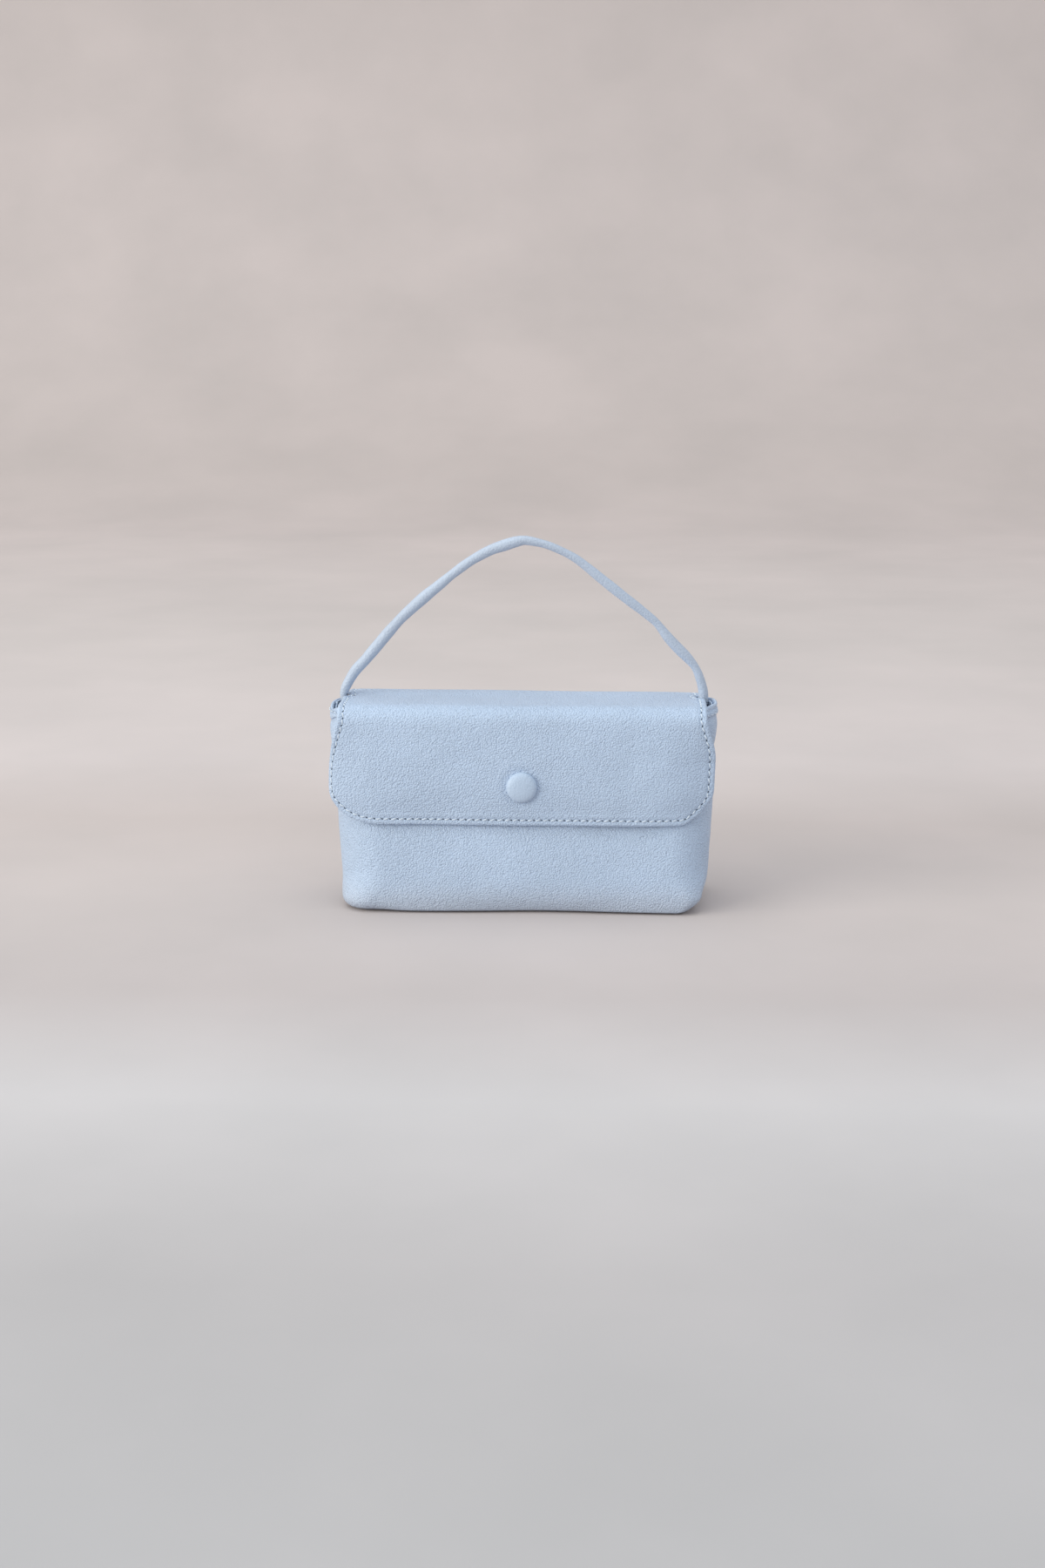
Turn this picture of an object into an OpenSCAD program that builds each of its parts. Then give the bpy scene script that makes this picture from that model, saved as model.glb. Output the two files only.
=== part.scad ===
// Small soft leather flap bag with a boxed base, a magnetic snap and a rolled top handle.
// The front faces -Y, right is +X and up is +Z. The origin is on the floor under the base's middle.

/* [Pouch] */
// Width over the ends at the mouth
mouth_w = 190.4; // [160:0.2:230]
// Depth over the mouth, front to back
mouth_d = 37; // [32:0.5:46]
// Width over the ends at the base
base_w = 178; // [150:1:215]
// Depth over the base, front to back
base_d = 56; // [48:1:68]
// Height of the leather walls
wall_h = 97.5; // [85:0.5:125]
// Plan corner radius at the base
base_corner_r = 17; // [12:0.5:20]
// Rounding of the bottom edge
base_edge_r = 5; // [4:0.25:7]

/* [Layers] */
// Thickness of the leather
leather_t = 1.2; // [0.8:0.1:1.6]
// Thickness of the woven lining
lining_t = 0.4; // [0.3:0.05:0.6]
// Room between leather and lining for the snap's backing plates
filler_gap = 0.6; // [0.55:0.05:0.9]
// Thickness of the leather strip that binds the mouth
binding_t = 0.5; // [0.4:0.05:0.7]
// Height of the binding outside the mouth
binding_out_h = 4; // [3:0.25:6]
// Height of the binding inside the mouth
binding_in_h = 8; // [5:0.5:12]
// Thickness of the stiff board in the base
board_t = 1.5; // [1:0.1:2.5]

/* [Flap] */
// How far the front fold stands out from the mouth's front
flap_stand = 6.5; // [6:0.25:9]
// Outer radius of the front fold
ridge_r = 6.5; // [5.5:0.25:6.5]
// Height of the flap's lower edge above the floor
flap_low_z = 43.5; // [35:0.5:52]
// Room between the pouch's front and the flap at its lower edge
flap_low_gap = 1.47; // [1.47:0.05:4]
// How much wider each side is at the fold than beside the handle
flap_flare = 4.1; // [0:0.1:4.5]
// Length over which the flap widens in front of the handle
flap_flare_run = 5; // [3:0.5:12]
// How far each side stays inside the pouch's width where the flap is widest
flap_side_inset = 0.4; // [-1:0.1:3]
// Width of the rounded lower corner
flap_corner_w = 16; // [8:0.5:24]
// Height of the rounded lower corner
flap_corner_h = 18.5; // [10:0.5:24]
// How far the side edges curl back towards the pouch
flap_wrap = 4; // [0:0.25:4.5]

/* [Snap and button] */
// Height of the snap and the button above the floor
snap_z = 62.6; // [58:0.2:68]
// Diameter of the snap's round parts
snap_d = 14; // [12:0.5:16]
// Thickness of the snap's magnet housing
socket_h = 1.5; // [1.3:0.1:1.7]
// Diameter of the snap's post
post_d = 5.6; // [4:0.2:6.4]
// Length of the snap's post
post_h = 1.1; // [0.6:0.1:1.2]
// Room between the two halves of the closed snap
snap_gap = 0.7; // [0.6:0.05:1.2]
// Thickness of the snap's thin discs and plates
plate_t = 0.35; // [0.25:0.01:0.38]
// Diameter of the covered button
button_d = 15; // [12:0.5:20]
// Height of the covered button's dome
button_h = 3.2; // [2.6:0.1:4.5]

/* [Handle] */
// Diameter of the rolled handle
handle_d = 4.8; // [4:0.1:5.2]
// Diameter of the cord inside it
core_d = 3.4; // [2.4:0.1:3.6]
// Rise of the arch from its pivots to its crown
handle_rise = 76; // [60:1:100]
// Angle of the handle's feet round the ends of the mouth, from the middle to the back
foot_turn = 28; // [0:1:35]
// Height of the pivots above the flap
pivot_lift = 0.5; // [0.3:0.1:2]
// Thickness of the tab behind each handle end
tab_t = 1; // [0.8:0.1:1.4]
// Width of the tab
tab_w = 12; // [8:0.5:13]
// Length of the tab
tab_h = 21; // [16:0.5:30]

/* [Clearances] */
// Gap between soft layers that lie on each other
layer_gap = 0.15; // [0.1:0.05:0.25]
// Gap between panels that meet edge to edge
seam_gap = 0.3; // [0.2:0.05:0.4]
// Gap between pieces that rest on each other
seat_gap = 0.3; // [0.2:0.05:0.5]
// Gap between the flap's sides and the handle
leg_gap = 0.6; // [0.4:0.1:1.5]
// Play around the snap's post
post_gap = 0.4; // [0.3:0.05:0.6]

/* [Hidden] */

leather = [0.70, 0.77, 0.87];
cloth = [0.80, 0.78, 0.74];
steel = [0.72, 0.72, 0.70];
board = [0.30, 0.30, 0.32];

// Shape of the walls: 1 is a straight slope and more keeps the lower part full
wall_curve = 1.4;
// Length of the flat at the middle of each end of the mouth, to each side
end_flat = 0.4;
mouth_corner_r = mouth_d / 2 - end_flat;

// Counts of steps along curves
arc_steps = 8;
front_steps = 6;
edge_steps = 4;
wall_steps = 8;
flap_steps = 20;
fold_steps = 3;
flare_steps = 4;
drop_steps = 6;
corner_steps = 6;
span_steps = 4;
tube_sides = 12;
round_fn = 64;
// Angle of a round corner from side to side
corner_turn = 90;
// Angles of the rings that round off the cord's ends
cap_angles = [80, 60, 40, 20];

// Layers, counted inwards from the outer face of the walls and upwards from the floor
lining_off = leather_t + filler_gap;
lining_in = lining_off + lining_t;
board_z = leather_t + layer_gap;
lining_z = board_z + board_t + layer_gap;
lining_edge_r = base_edge_r - leather_t;
rim_z = wall_h + layer_gap + binding_t;

// Flap, with its outer face on top at top_z
flap_t = leather_t + filler_gap + lining_t;
top_z = rim_z + seat_gap + flap_t;
ridge_reach = mouth_d / 2 + flap_stand;
fold_cy = -(ridge_reach - ridge_r);
fold_cz = top_z - ridge_r;
back_y = mouth_d / 2;
corner_z = flap_low_z + flap_corner_h;
// The two halves of the flap part half way round the fold
split_angle = 45;
fold_y = fold_cy - ridge_r * cos(split_angle);
fold_z = fold_cz + ridge_r * sin(split_angle);
split_gap_angle = seam_gap / ridge_r * 180 / PI;
// Share of the half width where the side edges start to curl back
wrap_from_share = 0.72;
// Share of the drop over which the curl grows to its full depth
wrap_grow_share = 0.4;

// Handle, whose feet stand round the ends of the mouth, measured from where the ends turn
binding_in = lining_in + layer_gap + binding_t;
end_turn_x = mouth_w / 2 - mouth_corner_r;
tab_out_r = mouth_corner_r - binding_in - layer_gap;
foot_r = tab_out_r - tab_t - layer_gap - handle_d / 2;
foot_x = end_turn_x + foot_r * cos(foot_turn);
foot_y = end_flat + foot_r * sin(foot_turn);
pivot_z = top_z + pivot_lift;
cover_lift = handle_d / 6;
end_top_z = pivot_z - core_d / 2 - seat_gap;
flap_back_half = foot_x - handle_d / 2 - leg_gap;
flap_ridge_half = flap_back_half + flap_flare;
flare_from_y = foot_y - handle_d / 2 - leg_gap;
tab_top_z = rim_z - seat_gap;
end_flat_t = handle_d / 2;
end_round_h = handle_d * 2;
side_tilt = atan((mouth_w - base_w) / 2 / wall_h);

// Arch of the handle: shares of the pivots' distance from the middle and of the rise
arch_shares = [
    [-1, 0], [-0.995, 0.045], [-0.91, 0.215], [-0.776, 0.398], [-0.606, 0.592],
    [-0.404, 0.782], [-0.194, 0.93], [0, 1], [0.175, 0.949], [0.437, 0.746], [0.664, 0.542],
    [0.802, 0.377], [0.911, 0.246], [0.979, 0.111], [0.996, 0.04], [1, 0]
];

// Plan of the pouch at a height
function height_share(z) = z / wall_h;
function half_w(z) = base_w / 2 + (mouth_w - base_w) / 2 * height_share(z);
function half_d(z) =
    base_d / 2 + (mouth_d - base_d) / 2 * pow(max(0, height_share(z)), wall_curve);
function corner_r(z) = base_corner_r + (mouth_corner_r - base_corner_r) * height_share(z);

// Front half of the plan, from the left end round to the right end, at an inset from the outside
function half_plan(z, inset, end_gap) =
    let (a = half_w(z) - inset, b = half_d(z) - inset, r = corner_r(z) - inset)
    concat(
        [[-a, -end_gap]],
        [for (k = [0:arc_steps]) let (t = corner_turn * k / arc_steps)
            [-(a - r) - r * cos(t), -(b - r) - r * sin(t)]],
        [for (k = [1:front_steps - 1]) [(a - r) * (2 * k / front_steps - 1), -b]],
        [for (k = [0:arc_steps]) let (t = corner_turn * k / arc_steps)
            [(a - r) + r * sin(t), -(b - r) - r * cos(t)]],
        [[a, -end_gap]]
    );

// Heights and insets of one face of a wall layer, from its bottom edge up to the mouth
function wall_levels(side_off, floor_off, edge_r) = concat(
    [for (k = [0:edge_steps]) let (t = corner_turn * (1 - k / edge_steps))
        [floor_off + edge_r * (1 - sin(t)), side_off + edge_r * (1 - cos(t))]],
    [for (k = [1:wall_steps]) let (low = floor_off + edge_r)
        [low + (wall_h - low) * k / wall_steps, side_off]]
);

function wall_face(side_off, floor_off, edge_r) = [
    for (level = wall_levels(side_off, floor_off, edge_r))
        [for (p = half_plan(level[0], level[1], seam_gap / 2)) [p[0], p[1], level[0]]]
];

// Two triangles for each cell of a grid of points
function cell(a, b, c, d) = [[a, b, c], [a, c, d]];
function grid_cells(rows, cols, first, flip) = [
    for (i = [0:rows - 2]) for (j = [0:cols - 2])
        let (p = first + i * cols + j, q = p + cols)
        each (flip ? cell(p, p + 1, q + 1, q) : cell(p, q, q + 1, p + 1))
];

// Closed sheet between an outer and an inner face that have the same grid
module sheet(outer, inner) {
    rows = len(outer);
    cols = len(outer[0]);
    n = rows * cols;
    last = (rows - 1) * cols;
    polyhedron(
        points = concat([for (row = outer) each row], [for (row = inner) each row]),
        faces = concat(
            grid_cells(rows, cols, 0, true),
            grid_cells(rows, cols, n, false),
            [for (j = [0:cols - 2]) each cell(j, n + j, n + j + 1, j + 1)],
            [for (j = [0:cols - 2]) let (k = last + j) each cell(k, k + 1, n + k + 1, n + k)],
            [for (i = [0:rows - 2]) let (k = i * cols) each cell(k, k + cols, n + k + cols, n + k)],
            [for (i = [0:rows - 2]) let (k = i * cols + cols - 1)
                each cell(k, n + k, n + k + cols, k + cols)]
        )
    );
}

module leather_wall() {
    sheet(
        wall_face(0, 0, base_edge_r),
        wall_face(leather_t, leather_t, base_edge_r - leather_t)
    );
}

module lining_wall() {
    sheet(
        wall_face(lining_off, lining_z, lining_edge_r),
        wall_face(lining_in, lining_z + lining_t, lining_edge_r - lining_t)
    );
}

module front_panel() {
    color(leather) leather_wall();
}

module back_panel() {
    color(leather) mirror([0, 1, 0]) leather_wall();
}

module lining_front() {
    color(cloth) lining_wall();
}

module lining_back() {
    color(cloth) mirror([0, 1, 0]) lining_wall();
}

// Flat plate with round corners, at an inset from the outline of the base
module base_plate(inset, low, thick) {
    a = base_w / 2 - inset;
    b = base_d / 2 - inset;
    r = base_corner_r - inset;
    translate([0, 0, low]) linear_extrude(thick) {
        square([2 * (a - r), 2 * b], center = true);
        square([2 * a, 2 * (b - r)], center = true);
        for (x = [-1, 1], y = [-1, 1])
            translate([x * (a - r), y * (b - r)]) circle(r, $fn = round_fn);
    }
}

module base_panel() {
    color(leather) base_plate(base_edge_r + seam_gap, 0, leather_t);
}

module base_board() {
    color(board) base_plate(base_edge_r + seam_gap, board_z, board_t);
}

module lining_base() {
    color(cloth) base_plate(lining_off + lining_edge_r + seam_gap, lining_z, lining_t);
}

// The binding is a U in section that runs round the ends and the front of the mouth
function binding_section() = [
    [-(layer_gap + binding_t), wall_h - binding_out_h],
    [-(layer_gap + binding_t), rim_z],
    [binding_in, rim_z],
    [binding_in, wall_h - binding_in_h],
    [lining_in + layer_gap, wall_h - binding_in_h],
    [lining_in + layer_gap, wall_h + layer_gap],
    [-layer_gap, wall_h + layer_gap],
    [-layer_gap, wall_h - binding_out_h]
];

// Run of one edge of the binding, which leans with the walls below their top
function mouth_run(inset, z) =
    let (
        low_z = min(z, wall_h),
        b = half_d(low_z) - inset,
        r = corner_r(low_z) - inset,
        x = half_w(low_z) - corner_r(low_z),
        y = half_d(low_z) - corner_r(low_z)
    )
    concat(
        [for (k = [0:arc_steps]) let (t = corner_turn * k / arc_steps) [-x - r * sin(t), y + r * cos(t)]],
        [for (k = [0:arc_steps]) let (t = corner_turn * k / arc_steps) [-x - r * cos(t), -y - r * sin(t)]],
        [for (k = [1:front_steps - 1]) [x * (2 * k / front_steps - 1), -b]],
        [for (k = [0:arc_steps]) let (t = corner_turn * k / arc_steps) [x + r * sin(t), -y - r * cos(t)]],
        [for (k = [0:arc_steps]) let (t = corner_turn * k / arc_steps) [x + r * cos(t), y + r * sin(t)]]
    );

// Closed bar: rings of points along a run, each ring in the same order
module bar(rings) {
    n = len(rings[0]);
    last = (len(rings) - 1) * n;
    polyhedron(
        points = [for (ring = rings) each ring],
        faces = concat(
            [[for (j = [n - 1:-1:0]) j]],
            [for (i = [0:len(rings) - 2]) for (j = [0:n - 1])
                let (p = i * n + j, q = i * n + (j + 1) % n)
                each cell(p, q, q + n, p + n)],
            [[for (j = [0:n - 1]) last + j]]
        )
    );
}

module mouth_binding() {
    section = binding_section();
    runs = [for (s = section) mouth_run(s[0], s[1])];
    color(leather) bar([
        for (i = [0:len(runs[0]) - 1])
            [for (k = [0:len(section) - 1]) [runs[k][i][0], runs[k][i][1], section[k][1]]]
    ]);
}

// Half width of the flap's top: narrow beside the handle and wider in front of it
function top_half(y) =
    let (t = max(0, min(1, (flare_from_y - y) / flap_flare_run)))
    flap_back_half + flap_flare * t * t * (3 - 2 * t);

top_runs = concat(
    [back_y - seam_gap],
    [for (k = [0:flare_steps]) flare_from_y - flap_flare_run * k / flare_steps],
    [fold_cy]
);

// One face of the flap's top and the back half of the fold, at a depth below the outer face
function top_face(off) = concat(
    [for (y = top_runs)
        [for (j = [0:flap_steps]) [top_half(y) * (2 * j / flap_steps - 1), y, top_z - off]]],
    [for (k = [1:fold_steps])
        let (
            a = corner_turn - (corner_turn - split_angle) * k / fold_steps,
            r = ridge_r - off
        )
        [for (j = [0:flap_steps])
            [flap_ridge_half * (2 * j / flap_steps - 1), fold_cy - r * cos(a),
                fold_cz + r * sin(a)]]]
);

// Height of a row of the flap's front, as a share of the way down from the fold
drop_h = fold_cz - flap_low_z;
corner_share = (fold_cz - corner_z) / drop_h;
flap_wide_half = half_w(corner_z) - flap_side_inset;
flap_low_reach = half_d(flap_low_z) + flap_t + flap_low_gap;

// The flap's front bulges between fold and lower edge by what the closed snap needs
function straight_reach(t) = ridge_reach + (flap_low_reach - ridge_reach) * t;
snap_share = (fold_cz - snap_z) / drop_h;
snap_stack = seat_gap + socket_h + snap_gap + plate_t + layer_gap;
snap_reach = half_d(snap_z) + snap_stack + flap_t;
flap_belly = (snap_reach - straight_reach(snap_share)) / (4 * snap_share * (1 - snap_share));
function drop_reach(t) = straight_reach(t) + flap_belly * 4 * t * (1 - t);

function drop_half(t) =
    let (
        flare = min(1, t / corner_share),
        turn = max(0, (t - corner_share) / (1 - corner_share))
    )
    flap_ridge_half + (flap_wide_half - flap_ridge_half) * flare * (2 - flare)
        - flap_corner_w * (1 - sqrt(max(0, 1 - turn * turn)));

function curl(share, t) =
    flap_wrap * min(1, t / wrap_grow_share)
        * pow(max(0, (abs(share) - wrap_from_share) / (1 - wrap_from_share)), 2);

drop_shares = concat(
    [for (k = [1:drop_steps]) corner_share * k / drop_steps],
    [for (k = [1:corner_steps]) corner_share + (1 - corner_share) * sin(corner_turn * k / corner_steps)]
);

function front_face(off) = concat(
    [for (k = [0:fold_steps])
        let (
            a = (split_angle - split_gap_angle) * (1 - k / fold_steps),
            r = ridge_r - off
        )
        [for (j = [0:flap_steps])
            [flap_ridge_half * (2 * j / flap_steps - 1), fold_cy - r * cos(a), fold_cz + r * sin(a)]]],
    [for (t = drop_shares) let (hw = drop_half(t))
        [for (j = [0:flap_steps]) let (share = 2 * j / flap_steps - 1)
            [hw * share, off - drop_reach(t) + curl(share * hw / drop_half(corner_share), t),
                fold_cz - drop_h * t]]]
);

module flap_top_leather() {
    color(leather) sheet(top_face(0), top_face(leather_t));
}

module flap_top_lining() {
    color(cloth) sheet(top_face(leather_t + filler_gap), top_face(flap_t));
}

module flap_front_leather() {
    color(leather) sheet(front_face(0), front_face(leather_t));
}

module flap_front_lining() {
    color(cloth) sheet(front_face(leather_t + filler_gap), front_face(flap_t));
}

// Places a round part on the pouch's front at the snap's height, with its axis out of the wall
module on_wall(out) {
    slope_step = leather_t;
    tilt = atan((half_d(snap_z - slope_step) - half_d(snap_z + slope_step)) / (2 * slope_step));
    translate([0, -half_d(snap_z), snap_z]) rotate([90 - tilt, 0, 0]) translate([0, 0, out])
        children();
}

// Places a round part on the flap's front at the snap's height
module on_flap(out) {
    slope = (flap_low_reach - ridge_reach + flap_belly * 4 * (1 - 2 * snap_share)) / drop_h;
    translate([0, -drop_reach(snap_share), snap_z]) rotate([90 - atan(slope), 0, 0]) translate([0, 0, out])
        children();
}

module snap_socket() {
    wall = plate_t;
    hole_r = post_d / 2 + post_gap;
    color(steel) on_wall(seat_gap) rotate_extrude($fn = round_fn) polygon([
        [hole_r, 0], [snap_d / 2, 0], [snap_d / 2, socket_h], [hole_r, socket_h],
        [hole_r, socket_h - wall], [snap_d / 2 - wall, socket_h - wall],
        [snap_d / 2 - wall, wall], [hole_r, wall]
    ]);
}

module snap_magnet() {
    wall = plate_t;
    play = layer_gap / 3;
    in_r = post_d / 2 + post_gap;
    color(board) on_wall(seat_gap + wall + play) difference() {
        cylinder(h = socket_h - 2 * (wall + play), r = snap_d / 2 - wall - play, $fn = round_fn);
        translate([0, 0, -wall]) cylinder(h = socket_h + wall, r = in_r, $fn = round_fn);
    }
}

module snap_socket_plate() {
    color(steel) on_wall(-leather_t - (filler_gap + plate_t) / 2)
        cylinder(h = plate_t, d = snap_d, $fn = round_fn);
}

module snap_stud() {
    color(steel) on_flap(-flap_t - layer_gap - plate_t) {
        cylinder(h = plate_t, d = snap_d, $fn = round_fn);
        translate([0, 0, -post_h]) cylinder(h = post_h + plate_t / 2, d = post_d, $fn = round_fn);
    }
}

module snap_stud_plate() {
    color(steel) on_flap(-leather_t - (filler_gap + plate_t) / 2)
        cylinder(h = plate_t, d = snap_d, $fn = round_fn);
}

// Dome of a given radius and height, cut flat at its rim
module dome(r, h) {
    ball_r = (r * r + h * h) / (2 * h);
    intersection() {
        translate([0, 0, h - ball_r]) sphere(ball_r, $fn = round_fn);
        cylinder(h = h, r = r, $fn = round_fn);
    }
}

cover_t = leather_t / 2;
shell_t = plate_t;

module button_cap() {
    color(leather) on_flap(layer_gap) difference() {
        dome(button_d / 2, button_h);
        translate([0, 0, -cover_t]) dome(button_d / 2 - cover_t, button_h);
    }
}

module button_shell() {
    inner_r = button_d / 2 - cover_t - layer_gap;
    top = button_h - cover_t - layer_gap;
    color(steel) on_flap(layer_gap) difference() {
        translate([0, 0, -cover_t]) dome(inner_r, top);
        translate([0, 0, -2 * cover_t]) cylinder(h = 2 * cover_t, r = button_d, $fn = round_fn);
        translate([0, 0, -cover_t - shell_t]) dome(inner_r - shell_t, top);
    }
}

// Smooth run through the arch's points, in the plane of the handle
function arch_point(i) =
    let (s = arch_shares[max(0, min(len(arch_shares) - 1, i))])
    [s[0] * foot_x, foot_y, pivot_z + s[1] * handle_rise];

function smooth(p0, p1, p2, p3, t) =
    (2 * p1 + (p2 - p0) * t + (2 * p0 - 5 * p1 + 4 * p2 - p3) * t * t
        + (3 * p1 - p0 - 3 * p2 + p3) * t * t * t) / 2;

arch_spans = len(arch_shares) - 1;
arch_run = [
    for (i = [0:arch_spans - 1]) for (k = [0:span_steps - 1])
        smooth(arch_point(i - 1), arch_point(i), arch_point(i + 1), arch_point(i + 2),
            k / span_steps),
    arch_point(arch_spans)
];

function unit(v) = v / norm(v);
function heading(i) =
    i == 0 ? [0, 0, 1]
    : i == len(arch_run) - 1 ? [0, 0, -1]
    : unit(arch_run[i + 1] - arch_run[i - 1]);

// Ring of a given radius about a point, square to a heading in the plane of the handle
function ring(p, dir, r) = [
    for (j = [0:tube_sides - 1]) let (a = 360 * j / tube_sides)
        p + r * (cos(a) * [-dir[2], 0, dir[0]] + sin(a) * [0, 1, 0])
];

module handle_core() {
    r = core_d / 2;
    last = len(arch_run) - 1;
    color(cloth) bar(concat(
        [for (a = cap_angles)
            ring(arch_run[0] - heading(0) * r * sin(a), heading(0), r * cos(a))],
        [for (i = [0:last]) ring(arch_run[i], heading(i), r)],
        [for (k = [len(cap_angles) - 1:-1:0]) let (a = cap_angles[k])
            ring(arch_run[last] + heading(last) * r * sin(a), heading(last), r * cos(a))]
    ));
}

// The cover is a tube that starts a little above each pivot
module handle_cover() {
    last = len(arch_run) - 1;
    ends = [arch_run[0] + [0, 0, cover_lift], arch_run[last] + [0, 0, cover_lift]];
    run = concat([ends[0]], [for (i = [1:last - 1]) arch_run[i]], [ends[1]]);
    outer = [for (i = [0:last]) ring(run[i], heading(i), handle_d / 2)];
    inner = [for (i = [0:last]) ring(run[i], heading(i), core_d / 2 + layer_gap)];
    n = tube_sides;
    all = (last + 1) * n;
    color(leather) polyhedron(
        points = concat([for (row = outer) each row], [for (row = inner) each row]),
        faces = concat(
            [for (i = [0:last - 1]) for (j = [0:n - 1])
                let (p = i * n + j, q = i * n + (j + 1) % n)
                each concat(
                    cell(p, q, q + n, p + n),
                    cell(all + p, all + p + n, all + q + n, all + q)
                )],
            [for (j = [0:n - 1]) let (q = (j + 1) % n) each cell(j, all + j, all + q, q)],
            [for (j = [0:n - 1]) let (p = last * n + j, q = last * n + (j + 1) % n)
                each cell(p, q, all + q, all + p)]
        )
    );
}

// Places a piece at the top of the tab, leaning with the wall
module at_tab(side) {
    translate([side * end_turn_x, end_flat, tab_top_z]) rotate([0, 0, side * foot_turn])
        translate([side * tab_out_r, 0, 0]) rotate([0, side * side_tilt, 0]) children();
}

// Sewn-in end of the handle: round where it leaves the mouth and pressed flat below
module handle_end(side) {
    flat_top = end_top_z - tab_top_z - end_round_h;
    color(leather) at_tab(side) translate([side * (foot_r - tab_out_r), 0, 0]) {
        translate([0, 0, flat_top]) cylinder(h = end_round_h, d = handle_d, $fn = round_fn);
        translate([-end_flat_t / 2, -handle_d, -tab_h])
            cube([end_flat_t, 2 * handle_d, tab_h + flat_top + end_flat_t]);
    }
}

// Leather tab that curves with the end of the mouth and leans with the wall
module handle_tab(side) {
    color(leather) at_tab(side) intersection() {
        translate([-side * tab_out_r, 0, -tab_h]) difference() {
            cylinder(h = tab_h, r = tab_out_r, $fn = round_fn);
            translate([0, 0, -tab_t])
                cylinder(h = tab_h + 2 * tab_t, r = tab_out_r - tab_t, $fn = round_fn);
        }
        translate([side > 0 ? -tab_out_r : 0, -tab_w / 2, -tab_h])
            cube([tab_out_r, tab_w, tab_h]);
    }
}

module handle_end_left() { handle_end(-1); }
module handle_end_right() { handle_end(1); }
module handle_tab_left() { handle_tab(-1); }
module handle_tab_right() { handle_tab(1); }

front_panel();
back_panel();
base_panel();
lining_front();
lining_back();
lining_base();
base_board();
mouth_binding();
handle_tab_left();
handle_tab_right();
handle_end_left();
handle_end_right();
snap_socket();
snap_magnet();
snap_socket_plate();
flap_top_leather();
flap_top_lining();
flap_front_leather();
flap_front_lining();
snap_stud();
snap_stud_plate();
button_cap();
button_shell();
handle_cover();
handle_core();
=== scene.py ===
import math

import bpy
import numpy as np
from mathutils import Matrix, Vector


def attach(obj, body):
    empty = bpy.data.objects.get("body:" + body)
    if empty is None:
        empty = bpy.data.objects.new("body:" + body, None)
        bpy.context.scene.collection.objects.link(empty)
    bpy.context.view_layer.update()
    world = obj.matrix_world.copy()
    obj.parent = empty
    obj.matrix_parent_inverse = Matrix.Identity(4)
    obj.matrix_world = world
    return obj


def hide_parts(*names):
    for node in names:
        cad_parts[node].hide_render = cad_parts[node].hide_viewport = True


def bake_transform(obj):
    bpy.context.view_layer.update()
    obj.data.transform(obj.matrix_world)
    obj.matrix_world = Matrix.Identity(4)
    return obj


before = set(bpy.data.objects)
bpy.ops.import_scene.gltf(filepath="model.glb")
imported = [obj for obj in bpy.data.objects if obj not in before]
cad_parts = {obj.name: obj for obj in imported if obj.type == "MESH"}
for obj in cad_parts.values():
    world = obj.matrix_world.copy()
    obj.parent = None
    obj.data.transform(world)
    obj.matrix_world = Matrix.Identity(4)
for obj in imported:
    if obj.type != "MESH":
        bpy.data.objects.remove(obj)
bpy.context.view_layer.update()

MM = 0.001

# Sizes in mm, as in the part
MOUTH_W, MOUTH_D = 190.4, 37.0
BASE_W, BASE_D = 178.0, 56.0
WALL_H = 97.5
BASE_R, MOUTH_R = 17.0, 18.1
LEATHER_T, LINING_T = 1.2, 0.4
LINING_OFF, LINING_FLOOR, LINING_TOP = 1.8, 3.0, 94.4
EDGE_CURVE, LINING_CURVE = 2.4, 3.4
RAISED_RIM = 1.05
TOP_Z = 100.65
FOLD_CZ = 94.15
FLAP_LOW_Z = 43.5
DROP_H = FOLD_CZ - FLAP_LOW_Z
RIDGE_REACH, LOW_REACH, BELLY = 25.0, 28.6, 0.9
RIDGE_HALF, BESIDE_HALF, WIDE_HALF = 88.4, 84.3, 92.54
CORNER_Z, CORNER_W = 62.0, 16.0
SNAP_Z = 62.6
FOOT_X, FOOT_Y, PIVOT_Z = 87.298, 5.8224, 101.15
STITCH, STITCH_IN = 3.65, 2.9

# How finely the pouch's plan is cut, and its closed floor
FRONT_STEPS, ARC_STEPS = 64, 20
END_SHARES = [0.0, 0.12, 0.3, 0.55, 0.78, 1.0]
EDGE_STEPS, FLOOR_RINGS = 8, 9

# Bare numbers in the shape functions below are mm: where a change starts, its length and its reach


def half_w(z):
    return BASE_W / 2 + (MOUTH_W - BASE_W) / 2 * z / WALL_H


def half_d(z):
    share = np.maximum(0.0, z) / WALL_H
    return BASE_D / 2 + (MOUTH_D - BASE_D) / 2 * share**1.4


def corner_r(z):
    return BASE_R + (MOUTH_R - BASE_R) * z / WALL_H


def wall_y(x, z):
    """Distance of the pouch's back face from the middle plane, at x and height z."""
    a, b, r = half_w(z), half_d(z), corner_r(z)
    over = np.clip(np.abs(x) - (a - r), 0.0, r)
    return (b - r) + np.sqrt(np.maximum(r * r - over * over, 0.0))


def smooth01(t):
    t = np.clip(t, 0.0, 1.0)
    return t * t * (3 - 2 * t)


def rise(value, start, length):
    """Goes softly from 0 at the start to 1 after a length."""
    return smooth01((value - start) / length)


def fall(value, end, length):
    """Goes softly from 1 before a length to 0 at the end."""
    return smooth01((end - value) / length)


def hump(value, middle, width):
    """A rounded rise to 1 about a middle, and 0 far from it."""
    return np.exp(-(((value - middle) / width) ** 2))


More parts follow.
